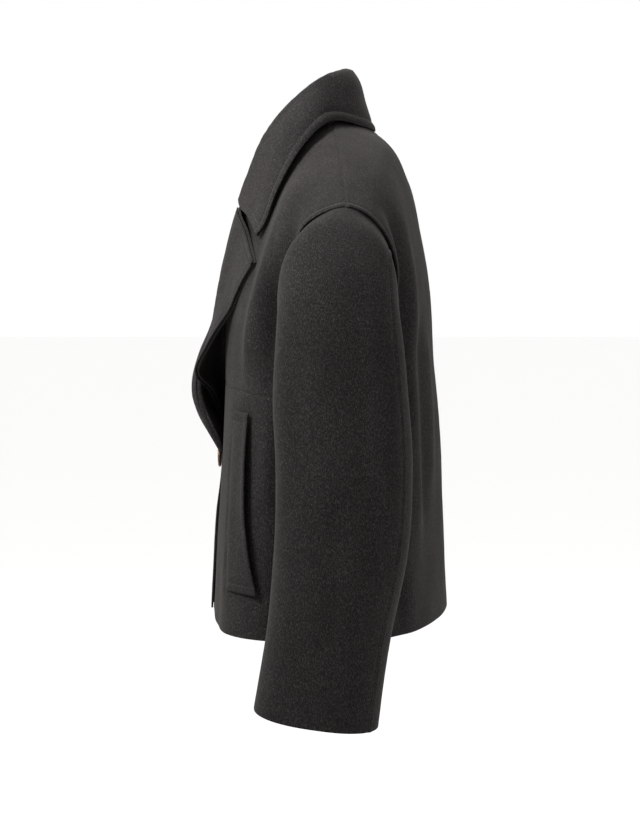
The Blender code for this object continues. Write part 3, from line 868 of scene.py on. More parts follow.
@dataclass
class Fronts:
    """The two fronts: upper and lower panels, turned lapels, facings and pocket welts.

    Attributes:
        rows: Guides of the left front, hem to shoulder, from the side to the edge.
        over: Inner and edge guides of the right front, which lies over the left one.
        left_lapel: Radius of the roll and outer edge of the left lapel, chest seam to gorge.
        right_lapel: The same for the right lapel.
        welt: Row number and the column numbers of the welt's sewn and free edges.
        rest: Distance from the chest's middle surface to the lapel's, where it lies on it.
        welt_stand: How far the welt's free edge stands off the front.
        left_creases: Folds of the left front, drawn from the side.
        right_creases: Folds of the right front, worked out on the left.
    """

    rest: float = 0.36
    welt_stand: float = 0.75
    rows: tuple = (
        ((24.5, -1.0, -56.8), (23.8, -7.2, -56.8), (20.2, -11.4, -56.8),
         (13.5, -13.0, -56.8), (4.2, -13.68, -56.5), (-5.5, -13.7, -56.2)),
        ((23.8, -0.9, -46.0), (22.9, -6.8, -46.0), (18.9, -10.9, -46.0),
         (11.5, -12.7, -46.0), (4.0, -13.22, -46.0), (-5.5, -13.12, -46.0)),
        ((23.2, -0.8, -38.5), (22.3, -6.3, -38.5), (17.9, -10.4, -38.5),
         (11.0, -12.35, -38.5), (4.0, -12.6, -38.5), (-5.5, -12.6, -38.5)),
        ((22.6, -0.6, -30.7), (21.7, -5.7, -30.8), (17.0, -9.9, -30.6),
         (10.5, -11.9, -30.5), (4.2, -12.3, -30.6), (-2.4, -12.6, -31.0)),
        ((22.4, -0.4, -28.8), (21.6, -5.5, -28.2), (17.1, -9.6, -27.9),
         (10.5, -11.7, -27.4), (5.1, -12.2, -27.4), (0.0, -12.5, -27.6)),
        ((22.3, -0.2, -27.0), (21.5, -5.2, -25.9), (17.3, -9.3, -25.2),
         (10.6, -11.4, -24.6), (6.1, -12.0, -24.4), (2.1, -12.3, -24.4)),
        ((22.7, -3.7, -23.4), (21.2, -6.0, -21.7), (17.9, -8.3, -19.9),
         (11.6, -10.1, -18.3), (7.1, -10.95, -17.6), (3.5, -11.48, -17.4)),
        ((23.5, -5.5, -18.4), (21.8, -6.2, -16.9), (18.9, -6.9, -14.9),
         (12.7, -7.9, -12.6), (7.9, -8.95, -11.3), (4.7, -9.88, -10.6)),
        ((24.6, -4.5, -13.7), (22.9, -4.9, -12.5), (20.2, -4.9, -10.6),
         (13.6, -5.3, -7.6), (9.4, -6.4, -6.0), (7.3, -7.0, -5.3)),
        ((25.5, -1.9, -11.1), (23.3, -2.1, -9.6), (20.1, -2.2, -7.5),
         (13.9, -2.6, -4.7), (10.6, -3.3, -3.5), (8.5, -3.6, -2.8)),
        ((26.0, 1.0, -10.1), (23.2, 0.85, -8.3), (19.4, 0.6, -6.1),
         (13.9, 0.2, -3.6), (10.8, -0.1, -2.35), (8.8, -0.4, -1.6)),
    )
    over: tuple = (
        ((4.2, -13.95, -56.6), (-5.5, -14.0, -56.4)),
        ((4.0, -13.5, -46.0), (-5.5, -13.4, -46.0)),
        ((4.0, -12.9, -38.5), (-5.5, -12.9, -38.5)),
        ((4.9, -14.3, -30.6), (-2.4, -15.3, -31.0)),
        ((4.9, -12.9, -27.4), (0.0, -14.5, -27.6)),
        ((6.1, -12.1, -24.4), (2.1, -12.7, -24.4)),
    )
    left_lapel: tuple = (
        (0.55, (1.6, -13.9, -32.0)), (0.58, (4.6, -15.6, -29.5)), (0.60, (6.9, -14.2, -26.4)),
        (0.42, (11.6, -10.7, -20.9)), (0.22, (16.0, -8.7, -16.5)),
    )
    right_lapel: tuple = (
        (0.28, (1.2, -15.9, -32.3)), (0.33, (4.2, -15.3, -29.4)), (0.60, (6.9, -14.2, -26.4)),
        (0.42, (11.6, -10.7, -20.9)), (0.22, (16.0, -8.7, -16.5)),
    )
    welt: tuple = ((2.72, 2.32, 1.70), (1.90, 2.36, 1.62), (1.10, 2.30, 1.50), (0.44, 2.20, 1.24))
    left_creases: tuple[Crease, ...] = (
        # the ridge from the shoulder to beside the pocket, and the deep trough behind it
        Crease(((-2.9, -5.0), (-5.0, -10.0), (-7.0, -16.0), (-8.6, -22.0), (-9.6, -30.0)), 0.75, 1.0,
               lean=0.3),
        Crease(((-3.8, -8.8), (-5.0, -13.4), (-6.2, -18.5), (-6.9, -25.0), (-7.0, -33.0)), -1.2, 0.8),
        # slack that hangs from the armhole, behind the pocket's free edge
        Crease(((-5.7, -26.0), (-6.2, -34.0), (-6.3, -46.0), (-6.2, -60.0)), -1.2, 0.85),
        Crease(((-8.0, -41.0), (-8.1, -48.0), (-8.0, -55.0)), -0.30, 0.8),
        Crease(((-10.6, -23.0), (-10.9, -27.0), (-10.6, -31.0)), -0.25, 0.8),
        Crease(((-9.6, -52.0), (-9.9, -54.5), (-9.7, -59.0)), 0.18, 1.3),
    )
    right_creases: tuple[Crease, ...] = (
        Crease(((-3.1, -5.8), (-5.2, -11.2), (-7.2, -17.5), (-8.6, -23.5), (-9.8, -30.0)), 0.68, 1.1,
               lean=0.25),
        Crease(((-4.0, -9.4), (-5.2, -14.6), (-6.2, -20.5), (-6.8, -28.0)), -0.85, 0.85),
        Crease(((-5.5, -27.0), (-6.2, -38.0), (-6.1, -50.0), (-6.0, -59.0)), -0.85, 0.9),
        Crease(((-8.3, -40.0), (-8.0, -50.0), (-8.2, -57.0)), 0.2, 1.0),
    )

    def net(self, side: Side) -> np.ndarray:
        """Guide net of a front, up to its edge, roll or neckline.

        Args:
            side: Which front.

        Returns:
            Guide points, rows by columns by 3.
        """
        rows = [list(row) for row in self.rows]
        if side is Side.RIGHT:
            for row, (inner, edge) in zip(rows, self.over):
                row[-2:] = [inner, edge]
        return np.array(rows, float)

    def lapel_net(self, side: Side) -> np.ndarray:
        """Guide net of the turned lapel, from the break to the gorge.

        Args:
            side: Which front.

        Returns:
            Guide points of each row, from the roll's root over the fold to the outer edge.
        """
        main = self.net(side)
        net = [[main[BREAK][-1]] * 5]
        table = self.right_lapel if side is Side.RIGHT else self.left_lapel
        for row, (r, outer) in zip(main[CHEST_SEAM:], table):
            root, outer = row[-1], np.array(outer)
            fold = root + np.array((-r, -r, -0.1 * r))
            top = root + np.array((0.35 * r, -2.0 * r, -0.35 * r))
            middle = 0.5 * (top + outer) + np.array((0.0, -0.22, 0.05))
            net.append([root, fold, top, middle, outer])
        return np.array(net)

    def grids(self, side: Side) -> tuple[np.ndarray, np.ndarray, np.ndarray]:
        """Fine grids of a front.

        Args:
            side: Which front.

        Returns:
            The main part, the lapel and the guide numbers of the main part's rows.
        """
        net = self.net(side)
        rows = graded(row_knots(net), SPACING, (0.0, float(CHEST_SEAM), float(GORGE), float(SHOULDER_ROW)))
        rows = np.unique(np.append(rows, float(BREAK)))
        knots = row_knots(net.transpose(1, 0, 2))
        main = respaced(surface(net, rows, graded(knots, SPACING)), SPACING, True, True)
        held = (rows >= BREAK) & (rows <= GORGE)
        lapel_rows = rows[held] - BREAK
        lapel = surface(self.lapel_net(side), lapel_rows, np.linspace(0, 4, 41))
        lapel = respaced(lapel, LAPEL_SPACING, False, True)
        lapel[0] = main[held][0, -1]
        laid = laid_ahead(lapel[:, PAST_ROLL:], main, self.rest - 0.06, 0.12)
        turned_by = np.clip(lapel_rows / 0.5, 0.0, 1.0)[:, None, None]
        lapel[:, PAST_ROLL:] += (laid - lapel[:, PAST_ROLL:]) * turned_by
        main[held, -1] = lapel[:, 0]
        return main, lapel, rows

    def build(self, side: Side, finishes: Wardrobe) -> None:
        """Builds one front with its lapel facing and welt.

        Args:
            side: Which front.
            finishes: Shared finishes.
        """
        right = side is Side.RIGHT
        main, lapel, rows = self.grids(side)
        main = trimmed(main, rows=(0.0, SHOULDER_TRIM), columns=(SEAM_GAP, 0.0))
        under_back = main[-1] + unit(main[-1] - main[-2]) * ALLOWANCE - np.array((0.0, 0.0, ALLOWANCE_DROP))
        held = rows[(rows >= BREAK) & (rows <= GORGE)]
        seam, lapel_seam = (int(np.searchsorted(lines, CHEST_SEAM - 1e-6)) for lines in (rows, held))
        creases = self.right_creases if right else self.left_creases
        upper = [trimmed(grid, rows=(SEAM_GAP, 0))
                 for grid in (np.concatenate((main[seam:], under_back[None])), lapel[lapel_seam:])]
        lower = [trimmed(grid, rows=(0, SEAM_GAP)) for grid in (main[:seam + 1], lapel[:lapel_seam + 1])]
        armhole = rows[seam:] >= UNDERARM
        start = float(np.argmax(armhole)) / len(armhole)
        sewn = [Groove.beside(main[seam:], Border.FIRST_COLUMN, 0.8, (start, 1.0)),
                Groove.beside(main[seam:], Border.FIRST_COLUMN, 0.3, (start, 1.0), **PUFFED),
                Groove.beside(main[seam:], Border.LAST_ROW, 0.0, **SHOULDER_LINE),
                Groove.beside(main[seam:], Border.FIRST_ROW, 0.0, CHEST_SPAN, **CHEST_LINE)]
        panels = (("_front_upper", upper, -20.0, sewn),
                  ("_front_lower", lower, -45.0, self.pocket_grooves(side)))
        for panel, grids, height, grooves in panels:
            finishes.sew(ClothPiece(side.value + panel, grids, CLOTH, (side.value + panel,), finishes.wool,
                                    (10.0, -90.0, height), creases, grooves, right, seed=1.3))
        self.build_facing(side, lapel, held, finishes)
        self.build_welt(side, finishes)

    def build_facing(self, side: Side, lapel: np.ndarray, rows: np.ndarray, finishes: Wardrobe) -> None:
        """Builds the facing that shows on a turned lapel, without creases.

        Args:
            side: Which front.
            lapel: Grid of the lapel's own cloth.
            rows: Guide numbers of its rows.
            finishes: Shared finishes.
        """
        first = int(np.searchsorted(rows, BREAK + 0.3))
        up = normals(lapel)
        up *= np.sign(np.dot(up[-20, -10], (0.0, -1.0, 0.0)))
        emerging = np.clip((rows - rows[first]) / 0.5, 0.0, 1.0)[:, None, None]
        grid = (lapel + up * (CLOTH / 2 + 0.05 + FACING / 2) * emerging)[first:, 2:]
        grid = trimmed(grid, rows=(0.2, 0.05))
        sewn = []
        for border, start, lip_start in ((Border.LAST_COLUMN, 0.12, 0.0), (Border.LAST_ROW, 0.30, 0.2)):
            sewn += [Groove.beside(grid, border, 0.75, (start, 0.985), depth=0.07),
                     Groove.beside(grid, border, 0.3, (lip_start, 1.0), depth=-0.09, width=0.3, sewn=False)]
        finishes.sew(ClothPiece(side.value + "_lapel_facing", [grid], FACING,
                                (side.value + "_lapel_facing",), finishes.wool, (8.0, -90.0, -20.0),
                                (), sewn, side is Side.RIGHT, seed=2.9, probe=(0.8, 0.7)))

    def welt_grid(self, side: Side) -> tuple[np.ndarray, np.ndarray]:
        """Lays the grid of a welt on the front's own points.

        Args:
            side: Which front.

        Returns:
            The grid, not yet moved out, and the normals of the front there.
        """
        net = self.net(side)
        table = np.array(self.welt)
        rows = through(np.arange(len(table), dtype=float), table, np.linspace(0, len(table) - 1, 66))
        steps = np.linspace(0.0, 1.0, 21)
        grid, ups = [], []
        for number, attached, free in rows:
            strip = surface(net, np.array((number + 0.05, number, number - 0.05)),
                            attached + (free - attached) * steps)
            up = normals(strip)[1]
            up *= np.where(up[:, 1:2] > 0, -1.0, 1.0)
            grid.append(strip[1])
            ups.append(up)
        return np.array(grid), np.array(ups)

    def build_welt(self, side: Side, finishes: Wardrobe) -> None:
        """Builds the pocket welt, sewn down in front and at its ends, with its back edge free.

        Args:
            side: Which front.
            finishes: Shared finishes.
        """
        grid, up = self.welt_grid(side)
        steps = np.linspace(0.0, 1.0, grid.shape[1])[None, :, None]
        along = np.linspace(0.0, 1.0, grid.shape[0])[:, None, None]
        stand = self.welt_stand * steps ** 2 * (0.25 + 0.75 * np.sin(np.pi * along) ** 0.6)
        sunk = 0.24 * np.exp(-(steps * 4.0 / 0.28) ** 2)
        piece = grid + up * (CLOTH + SEAM_GAP + stand - sunk)
        lip = {"depth": -0.08, "width": 0.3, "sewn": False}
        sewn = []
        for border in (Border.FIRST_ROW, Border.LAST_ROW):
            sewn += [Groove.beside(piece, border, 0.85, (0.04, 0.96), depth=0.09, width=0.2),
                     Groove.beside(piece, border, 0.35, **lip)]
        sewn += [Groove.beside(piece, Border.LAST_COLUMN, 0.35, **lip),
                 Groove.beside(piece, Border.FIRST_COLUMN, 0.9, (0.03, 0.97), depth=0.07, width=0.2)]
        finishes.sew(ClothPiece(side.value + "_pocket_welt", [piece], CLOTH,
                                (side.value + "_pocket_welt",), finishes.wool, (60.0, -60.0, -45.0),
                                (), sewn, side is Side.RIGHT, seed=4.1))

    def pocket_grooves(self, side: Side) -> list[Groove]:
        """Grooves pressed into the lower front, without thread.

        Args:
            side: Which front.

        Returns:
            Three round the welt and one along the chest seam.
        """
        grid, up = self.welt_grid(side)
        main, _, rows = self.grids(side)
        seam = int(np.searchsorted(rows, CHEST_SEAM - 1e-6))
        top = np.concatenate((grid[-1], grid[-1][-1:] + (grid[-1][-1:] - grid[-1][-3:-2]) * 2.6))
        return [Groove(grid[:, 0], up[:, 0], 0.26, 0.3, sewn=False),
                Groove(top, np.concatenate((up[-1], up[-1][-1:])), 0.16, 0.24, sewn=False),
                Groove(grid[0], up[0], 0.12, 0.24, sewn=False),
                Groove.beside(main[:seam + 1], Border.LAST_ROW, 0.0, CHEST_SPAN, **CHEST_LINE)]


# ------------------------------------------------------------------ back
@dataclass
class Back:
    """The back, in one piece from side seam to side seam.

    Attributes:
        rows: Guides of the left half, hem to shoulder, from the side to the centre.
        creases: Folds that fall from the shoulder blades.
        armhole: Fractions of the side's length between which it is an armhole's edge.
        side_seam: Fractions between which it is a side seam.
    """

    armhole: Spot = (0.56, 1.0)
    side_seam: Spot = (0.0, 0.5)
    rows: tuple = (
        ((24.5, -1.0, -56.8), (23.4, 3.3, -56.8), (19.8, 7.5, -56.8),
         (13.5, 10.4, -56.8), (8.0, 11.9, -56.8), (0.0, 12.9, -56.8)),
        ((23.8, -0.9, -46.0), (22.7, 3.2, -46.0), (19.2, 7.2, -46.0),
         (13.2, 9.9, -46.0), (8.0, 11.4, -46.0), (0.0, 12.35, -46.0)),
        ((23.0, -0.7, -36.0), (22.0, 3.1, -36.0), (18.7, 7.0, -36.0),
         (13.0, 9.7, -36.0), (8.0, 11.1, -36.0), (0.0, 11.9, -36.0)),
        ((22.3, -0.2, -27.0), (21.4, 3.3, -27.2), (18.4, 6.9, -27.1),
         (13.0, 9.4, -27.0), (8.0, 10.5, -26.9), (0.0, 11.05, -26.8)),
        ((22.7, 4.4, -23.6), (20.9, 6.4, -22.9), (17.6, 8.1, -22.0),
         (13.0, 9.35, -21.2), (8.0, 10.25, -20.7), (0.0, 10.7, -20.4)),
        ((23.4, 6.3, -18.6), (21.2, 7.0, -17.6), (17.6, 7.8, -16.2),
         (13.0, 8.7, -14.9), (8.0, 9.4, -14.3), (0.0, 9.65, -14.1)),
        ((24.4, 5.6, -14.2), (21.9, 6.2, -12.9), (17.8, 6.9, -10.9),
         (13.0, 7.4, -9.2), (8.2, 8.0, -8.3), (0.0, 8.2, -8.2)),
        ((25.4, 3.5, -11.3), (22.4, 3.9, -9.6), (18.2, 4.5, -7.1),
         (13.4, 4.95, -5.2), (8.9, 5.45, -3.95), (0.0, 5.75, -3.9)),
        ((26.0, 1.0, -10.1), (23.2, 0.85, -8.3), (19.4, 0.6, -6.1),
         (13.9, 0.2, -3.6), (8.8, -0.4, -1.6), (0.0, 2.3, -0.85)),
    )
    creases: tuple[Crease, ...] = (
        # behind each armhole: a trough that sharpens towards the sleeve, and ridges below it
        Crease(((21.6, -9.4), (21.3, -15.0), (20.4, -21.5), (19.6, -29.0), (19.4, -38.0)), -1.6, 1.4,
               Seen.FACE, lean=-0.3, side=1.0),
        Crease(((18.0, -10.0), (17.4, -17.0), (16.6, -26.0), (16.2, -38.0), (15.8, -51.0)), 0.5, 1.5,
               Seen.FACE, side=1.0),
        Crease(((19.7, -36.0), (19.8, -45.0), (20.2, -58.0)), -0.6, 1.1, Seen.FACE, side=1.0),
        Crease(((13.6, -21.0), (13.5, -32.0), (13.0, -47.0)), -0.36, 1.1, Seen.FACE, side=1.0),
        Crease(((10.6, -24.0), (10.4, -33.0), (10.6, -43.0)), 0.28, 1.2, Seen.FACE, side=1.0),
        Crease(((-21.4, -9.8), (-21.1, -16.0), (-20.1, -23.0), (-19.3, -31.0)), -1.45, 1.4, Seen.FACE,
               lean=0.3, side=1.0),
        Crease(((-17.6, -11.0), (-17.0, -19.0), (-16.2, -30.0), (-16.5, -47.0)), 0.48, 1.5, Seen.FACE,
               side=1.0),
        Crease(((-19.6, -34.0), (-19.3, -44.0), (-19.9, -57.0)), -0.55, 1.1, Seen.FACE, side=1.0),
        Crease(((-13.4, -23.0), (-13.0, -36.0), (-13.5, -50.0)), -0.32, 1.2, Seen.FACE, side=1.0),
        Crease(((-4.0, -26.0), (-4.6, -38.0), (-4.2, -52.0)), 0.18, 2.2, Seen.FACE, side=1.0),
        Crease(((5.2, -30.0), (5.6, -41.0), (5.0, -55.0)), 0.16, 2.0, Seen.FACE, side=1.0),
    )

    def grid(self, fronts: Fronts) -> np.ndarray:
        """Fine grid of the back, its side seams on those of the fronts.

        Args:
            fronts: The fronts that it is sewn to.

        Returns:
            The grid, hem to shoulder, from the left side to the right one.
        """
        half = np.array(self.rows, float)
        net = np.concatenate((half, half[:, -2::-1] * (-1, 1, 1)), axis=1)
        rows = graded(row_knots(net), SPACING, (0.0, float(BACK_SHOULDER)))
        columns = graded(row_knots(net.transpose(1, 0, 2)), SPACING)
        grid = surface(net, rows, columns)
        seam = surface(fronts.net(Side.LEFT), np.linspace(0, SHOULDER_ROW, 120), np.array((0.0,)))[:, 0]
        below = rows <= BACK_UNDERARM
        for column, side in ((0, 1.0), (-1, -1.0)):
            heights = grid[below, column, 2]
            grid[below, column, 0] = side * np.interp(heights, seam[:, 2], seam[:, 0])
            grid[below, column, 1] = np.interp(heights, seam[:, 2], seam[:, 1])
        return respaced(grid, SPACING, True, True)

    def build(self, fronts: Fronts, finishes: Wardrobe) -> None:
        """Builds the back with its stitched armholes and shoulders.

        Args:
            fronts: The fronts that it is sewn to.
            finishes: Shared finishes.
        """
        grid = trimmed(self.grid(fronts), rows=(0.0, SHOULDER_TRIM), columns=(SEAM_GAP, SEAM_GAP))
        sewn = []
        for border in (Border.FIRST_COLUMN, Border.LAST_COLUMN):
            sewn += [Groove.beside(grid, border, 0.8, self.armhole),
                     Groove.beside(grid, border, 0.3, self.armhole, **PUFFED),
                     Groove.beside(grid, border, 0.0, self.side_seam, depth=0.08, width=0.2, sewn=False)]
        sewn.append(Groove.beside(grid, Border.LAST_ROW, 0.0, **SHOULDER_LINE))
        finishes.sew(ClothPiece("back", [grid], CLOTH, ("back",), finishes.wool, (0.0, 90.0, -30.0),
                                self.creases, sewn, seed=5.2))


# ------------------------------------------------------------------ collar
@dataclass
class Collar:
    """The collar: a stand, a rounded crest and a wide falling leaf.

    Attributes:
        rows: Neckline, crest, lower edge, roundness and bulge, from centre back to the tip.
        inset: How far the stand stands inside the neckline.
        tuck: How far its lower edge hangs below the neckline, on the inside.
        spacing: Distances between its grid's lines, round the neck and from stand to edge.
    """

    inset: float = 0.26
    tuck: float = 0.4
    spacing: Spot = (0.5, 0.4)
    rows: tuple = (
        ((0.0, 2.3, -0.85), (0.0, 1.6, 4.55), (0.0, 4.4, -2.45), 1.0, 0.0),
        ((4.6, 1.0, -1.0), (4.6, 0.75, 4.5), (5.6, 3.1, -1.85), 0.9, 0.15),
        ((8.8, -0.4, -1.6), (7.7, -1.9, 3.4), (10.2, -0.8, -1.3), 0.7, 0.5),
        ((8.5, -3.6, -2.8), (8.5, -5.2, 0.7), (13.3, -3.7, -4.1), 0.6, 0.8),
        ((7.3, -7.0, -5.3), (7.8, -8.0, -2.9), (14.8, -6.2, -8.6), 0.5, 0.8),
        ((6.0, -8.7, -8.2), (6.3, -9.75, -6.9), (15.0, -7.5, -12.0), 0.4, 0.7),
        ((4.9, -9.8, -10.5), (4.75, -10.85, -9.9), (14.6, -8.5, -13.7), 0.3, 0.4),
    )

    def grid(self) -> np.ndarray:
        """Fine grid of the collar.

        Returns:
            The grid, from the right tip round the nape to the left one, and from the stand to the edge.
        """
        necks = np.array([row[0] for row in self.rows])
        ahead = np.gradient(np.concatenate((necks[1:2] * (-1, 1, 1), necks)), axis=0)[1:]
        inward = unit(np.stack((ahead[:, 1], -ahead[:, 0], np.zeros(len(necks))), axis=1))
        half = []
        for (neck, crest, edge, rounding, bulge), inset in zip(self.rows, inward * self.inset):
            neck, crest, edge = np.array(neck), np.array(crest), np.array(edge)
            out = unit((edge - neck) * (1.0, 1.0, 0.0))
            neck = neck + inset - np.array((0.0, 0.0, self.tuck))
            stand = neck + (crest - neck) * 0.5 - out * 0.15
            inner = crest - out * rounding * 0.7 - np.array((0, 0, rounding * 0.7))
            outer = crest + out * rounding * 0.75 - np.array((0, 0, rounding * 0.75))
            fall = outer + (edge - outer) * 0.5 + out * bulge * 0.5 + np.array((0, 0, bulge * 0.4))
            half.append([neck, stand, inner, crest, outer, fall, edge])
        half = np.array(half)
        net = np.concatenate((half[:0:-1] * (-1, 1, 1), half))
        around, across = self.spacing
        rows = graded(row_knots(net), around, (0.0, len(net) - 1.0))
        grid = surface(net, rows, graded(row_knots(net.transpose(1, 0, 2)), across))
        return respaced(grid, across, False, True)

    def build(self, finishes: Wardrobe) -> None:
        """Builds the collar with a line of stitches round its leaf.

        Args:
            finishes: Shared finishes.
        """
        grid = self.grid()
        sewn = [Groove.beside(grid, Border.LAST_COLUMN, 1.05, (0.05, 0.95), depth=0.08, width=0.26),
                Groove.beside(grid, Border.LAST_COLUMN, 0.45, depth=-0.15, width=0.5, sewn=False)]
        for border in (Border.FIRST_ROW, Border.LAST_ROW):
            sewn += [Groove.beside(grid, border, 0.95, (0.42, 0.93), depth=0.07, width=0.2),
                     Groove.beside(grid, border, 0.35, (0.4, 1.0), depth=-0.10, width=0.36, sewn=False)]
        finishes.sew(ClothPiece("collar", [grid], COLLAR_WALL, ("collar",), finishes.wool,
                                (0.0, 90.0, 10.0), (), sewn, seed=3.3, probe=(0.5, 0.9)))


# ------------------------------------------------------------------ sleeves
RING_STEPS = 52                         # points round a ring of the sleeve
LAPPED = 14                             # points repeated past a ring's ends, so that a seam may pass them
QUARTERS = [0, 3, 5, 7, 10]             # armhole guides at the top, in front, below, behind and at the top


@dataclass
class Sleeve:
    """A two-piece sleeve, hanging from a dropped shoulder.

    Attributes:
        rings: Highest and lowest point, reach to front and back, and drop of the back.
        back_seam: Degrees round a ring from its outermost point, front positive.
        front_seam: The same for the front seam.
        squareness: Exponent of a ring's rounded outline.
        tuck: How far the sleeve's seam allowance reaches under the armhole's edge.
        sink: How far it lies inside the body's cloth there.
        left_creases: Folds of the left sleeve, on its outer side.
        right_creases: Folds of the right sleeve, worked out on the left.
    """

    back_seam: float = -61.0
    front_seam: float = 125.0
    squareness: float = 2.3
    tuck: float = 0.6
    sink: float = 0.28
    rings: tuple = (
        ((28.0, -11.7), (23.3, -27.5), -6.0, 6.4, 0.0),
        ((30.5, -15.0), (23.9, -28.5), -6.1, 6.5, 0.0),
        ((32.5, -20.0), (24.2, -30.5), -6.3, 6.9, 0.0),
        ((33.9, -27.0), (24.4, -34.0), -6.5, 7.4, 0.0),
        ((34.8, -36.0), (24.7, -39.5), -6.25, 7.85, 0.0),
        ((35.3, -46.0), (25.0, -47.0), -6.55, 7.4, 0.0),
        ((35.5, -55.3), (25.3, -55.3), -7.3, 5.5, 0.3),
        ((35.4, -63.95), (25.5, -63.1), -8.55, 4.25, 0.9),
    )
    left_creases: tuple[Crease, ...] = (
        Crease(((-1.5, -15.0), (-1.9, -22.0), (-1.2, -30.0)), 0.20, 1.5, side=1.0),
        Crease(((2.4, -16.0), (2.2, -24.0), (2.9, -33.0), (3.0, -43.0)), -0.22, 1.3, side=1.0),
        Crease(((-3.9, -19.0), (-4.2, -30.0), (-3.6, -41.0)), -0.18, 1.2, side=1.0),
        Crease(((5.2, -27.0), (5.7, -36.0), (5.0, -46.0)), 0.22, 1.1, side=1.0),
        Crease(((0.4, -38.0), (0.1, -47.0), (-0.9, -58.0)), -0.16, 1.6, side=1.0),
    )
    right_creases: tuple[Crease, ...] = (
        Crease(((-1.0, -16.0), (-1.6, -24.0), (-0.6, -33.0)), 0.18, 1.6, side=1.0),
        Crease(((2.9, -17.0), (2.4, -26.0), (3.2, -36.0), (2.4, -46.0)), -0.20, 1.4, side=1.0),
        Crease(((-4.3, -22.0), (-4.0, -33.0), (-4.6, -44.0)), -0.18, 1.1, side=1.0),
        Crease(((-0.2, -41.0), (0.6, -50.0), (-1.4, -60.0)), 0.14, 1.7, side=1.0),
    )

    def net(self, fronts: Fronts, back: Back) -> np.ndarray:
        """Guide rings of the left sleeve.

        Args:
            fronts: The fronts, which hold the armhole's front edge.
            back: The back, which holds its rear edge.

        Returns:
            The rings, from one inside the armhole down to the cuff, each closed on its first point.
        """
        front = [np.array(row[0]) for row in fronts.rows[:UNDERARM - 1:-1]]
        behind = [np.array(row[0]) for row in back.rows[4:-1]]
        loop = np.array(front + behind + front[:1])
        knots = arc_knots(loop)
        lead = knots[-1] - knots[-3:-1]
        turns = np.linspace(0.0, 4.0, RING_STEPS + 1)
        ring = through(np.concatenate((-lead, knots, knots[-1] + knots[1:3])),
                       np.concatenate((loop[-3:-1], loop, loop[1:3])),
                       np.interp(turns, np.arange(5), knots[QUARTERS]))
        angles = turns * np.pi / 2
        power = 2.0 / self.squareness
        along = np.sign(np.cos(angles)) * np.abs(np.cos(angles)) ** power
        around = np.sign(np.sin(angles)) * np.abs(np.sin(angles)) ** power
        rings = []
        for (outer_x, outer_z), (inner_x, inner_z), ahead, behind_y, drop in self.rings:
            outer, inner = np.array((outer_x, 0.0, outer_z)), np.array((inner_x, 0.0, inner_z))
            points = (outer + inner) / 2 + np.outer(along, (outer - inner) / 2)
            points[:, 1] = (ahead + behind_y) / 2 - around * (behind_y - ahead) / 2
            points[:, 2] += around * drop
            rings.append(points)
        down, inward = unit(rings[0] - ring), unit(ring.mean(axis=0) - ring)
        tucked = ring - down * self.tuck + inward * self.sink
        head = ring + down * self.tuck + inward * self.sink * 0.6
        return np.array([tucked, head] + rings)

    def build(self, side: Side, fronts: Fronts, back: Back, finishes: Wardrobe) -> None:
        """Builds the top sleeve and the under sleeve of one side.

        Args:
            side: Which sleeve.
            fronts: The fronts, which hold the armhole's front edge.
            back: The back, which holds its rear edge.
            finishes: Shared finishes.
        """
        net = self.net(fronts, back)[:, :-1]
        closed = np.concatenate((net[:, -LAPPED:], net, net[:, :LAPPED + 1]), axis=1)
        per_degree = RING_STEPS / 360.0
        rows = graded(row_knots(closed), SPACING, (0.0,))
        right = side is Side.RIGHT
        creases = self.right_creases if right else self.left_creases
        spans = {"_sleeve_top": (self.back_seam, self.front_seam, (100.0, 0.0, -40.0)),
                 "_sleeve_under": (self.front_seam, 360.0 + self.back_seam, (-100.0, 0.0, -40.0))}
        for part, (low, high, outside) in spans.items():
            numbers = np.linspace(low, high, 45) * per_degree + LAPPED
            grid = respaced(surface(closed, rows, numbers), SPACING, True, True)
            grid = trimmed(grid, columns=(SEAM_GAP, SEAM_GAP))
            sewn = []
            if part == "_sleeve_top":
                sewn += [Groove.beside(grid, Border.FIRST_COLUMN, 0.7, (0.03, 0.995)),
                         Groove.beside(grid, Border.FIRST_COLUMN, 0.25, (0.03, 1.0),
                                       depth=-0.10, width=0.3, sewn=False)]
            nodes = (side.value + part, side.value + part + "_forearm")
            finishes.sew(ClothPiece(side.value + part, [grid], CLOTH, nodes, finishes.wool,
                                    outside, creases, sewn, right, seed=6.1))


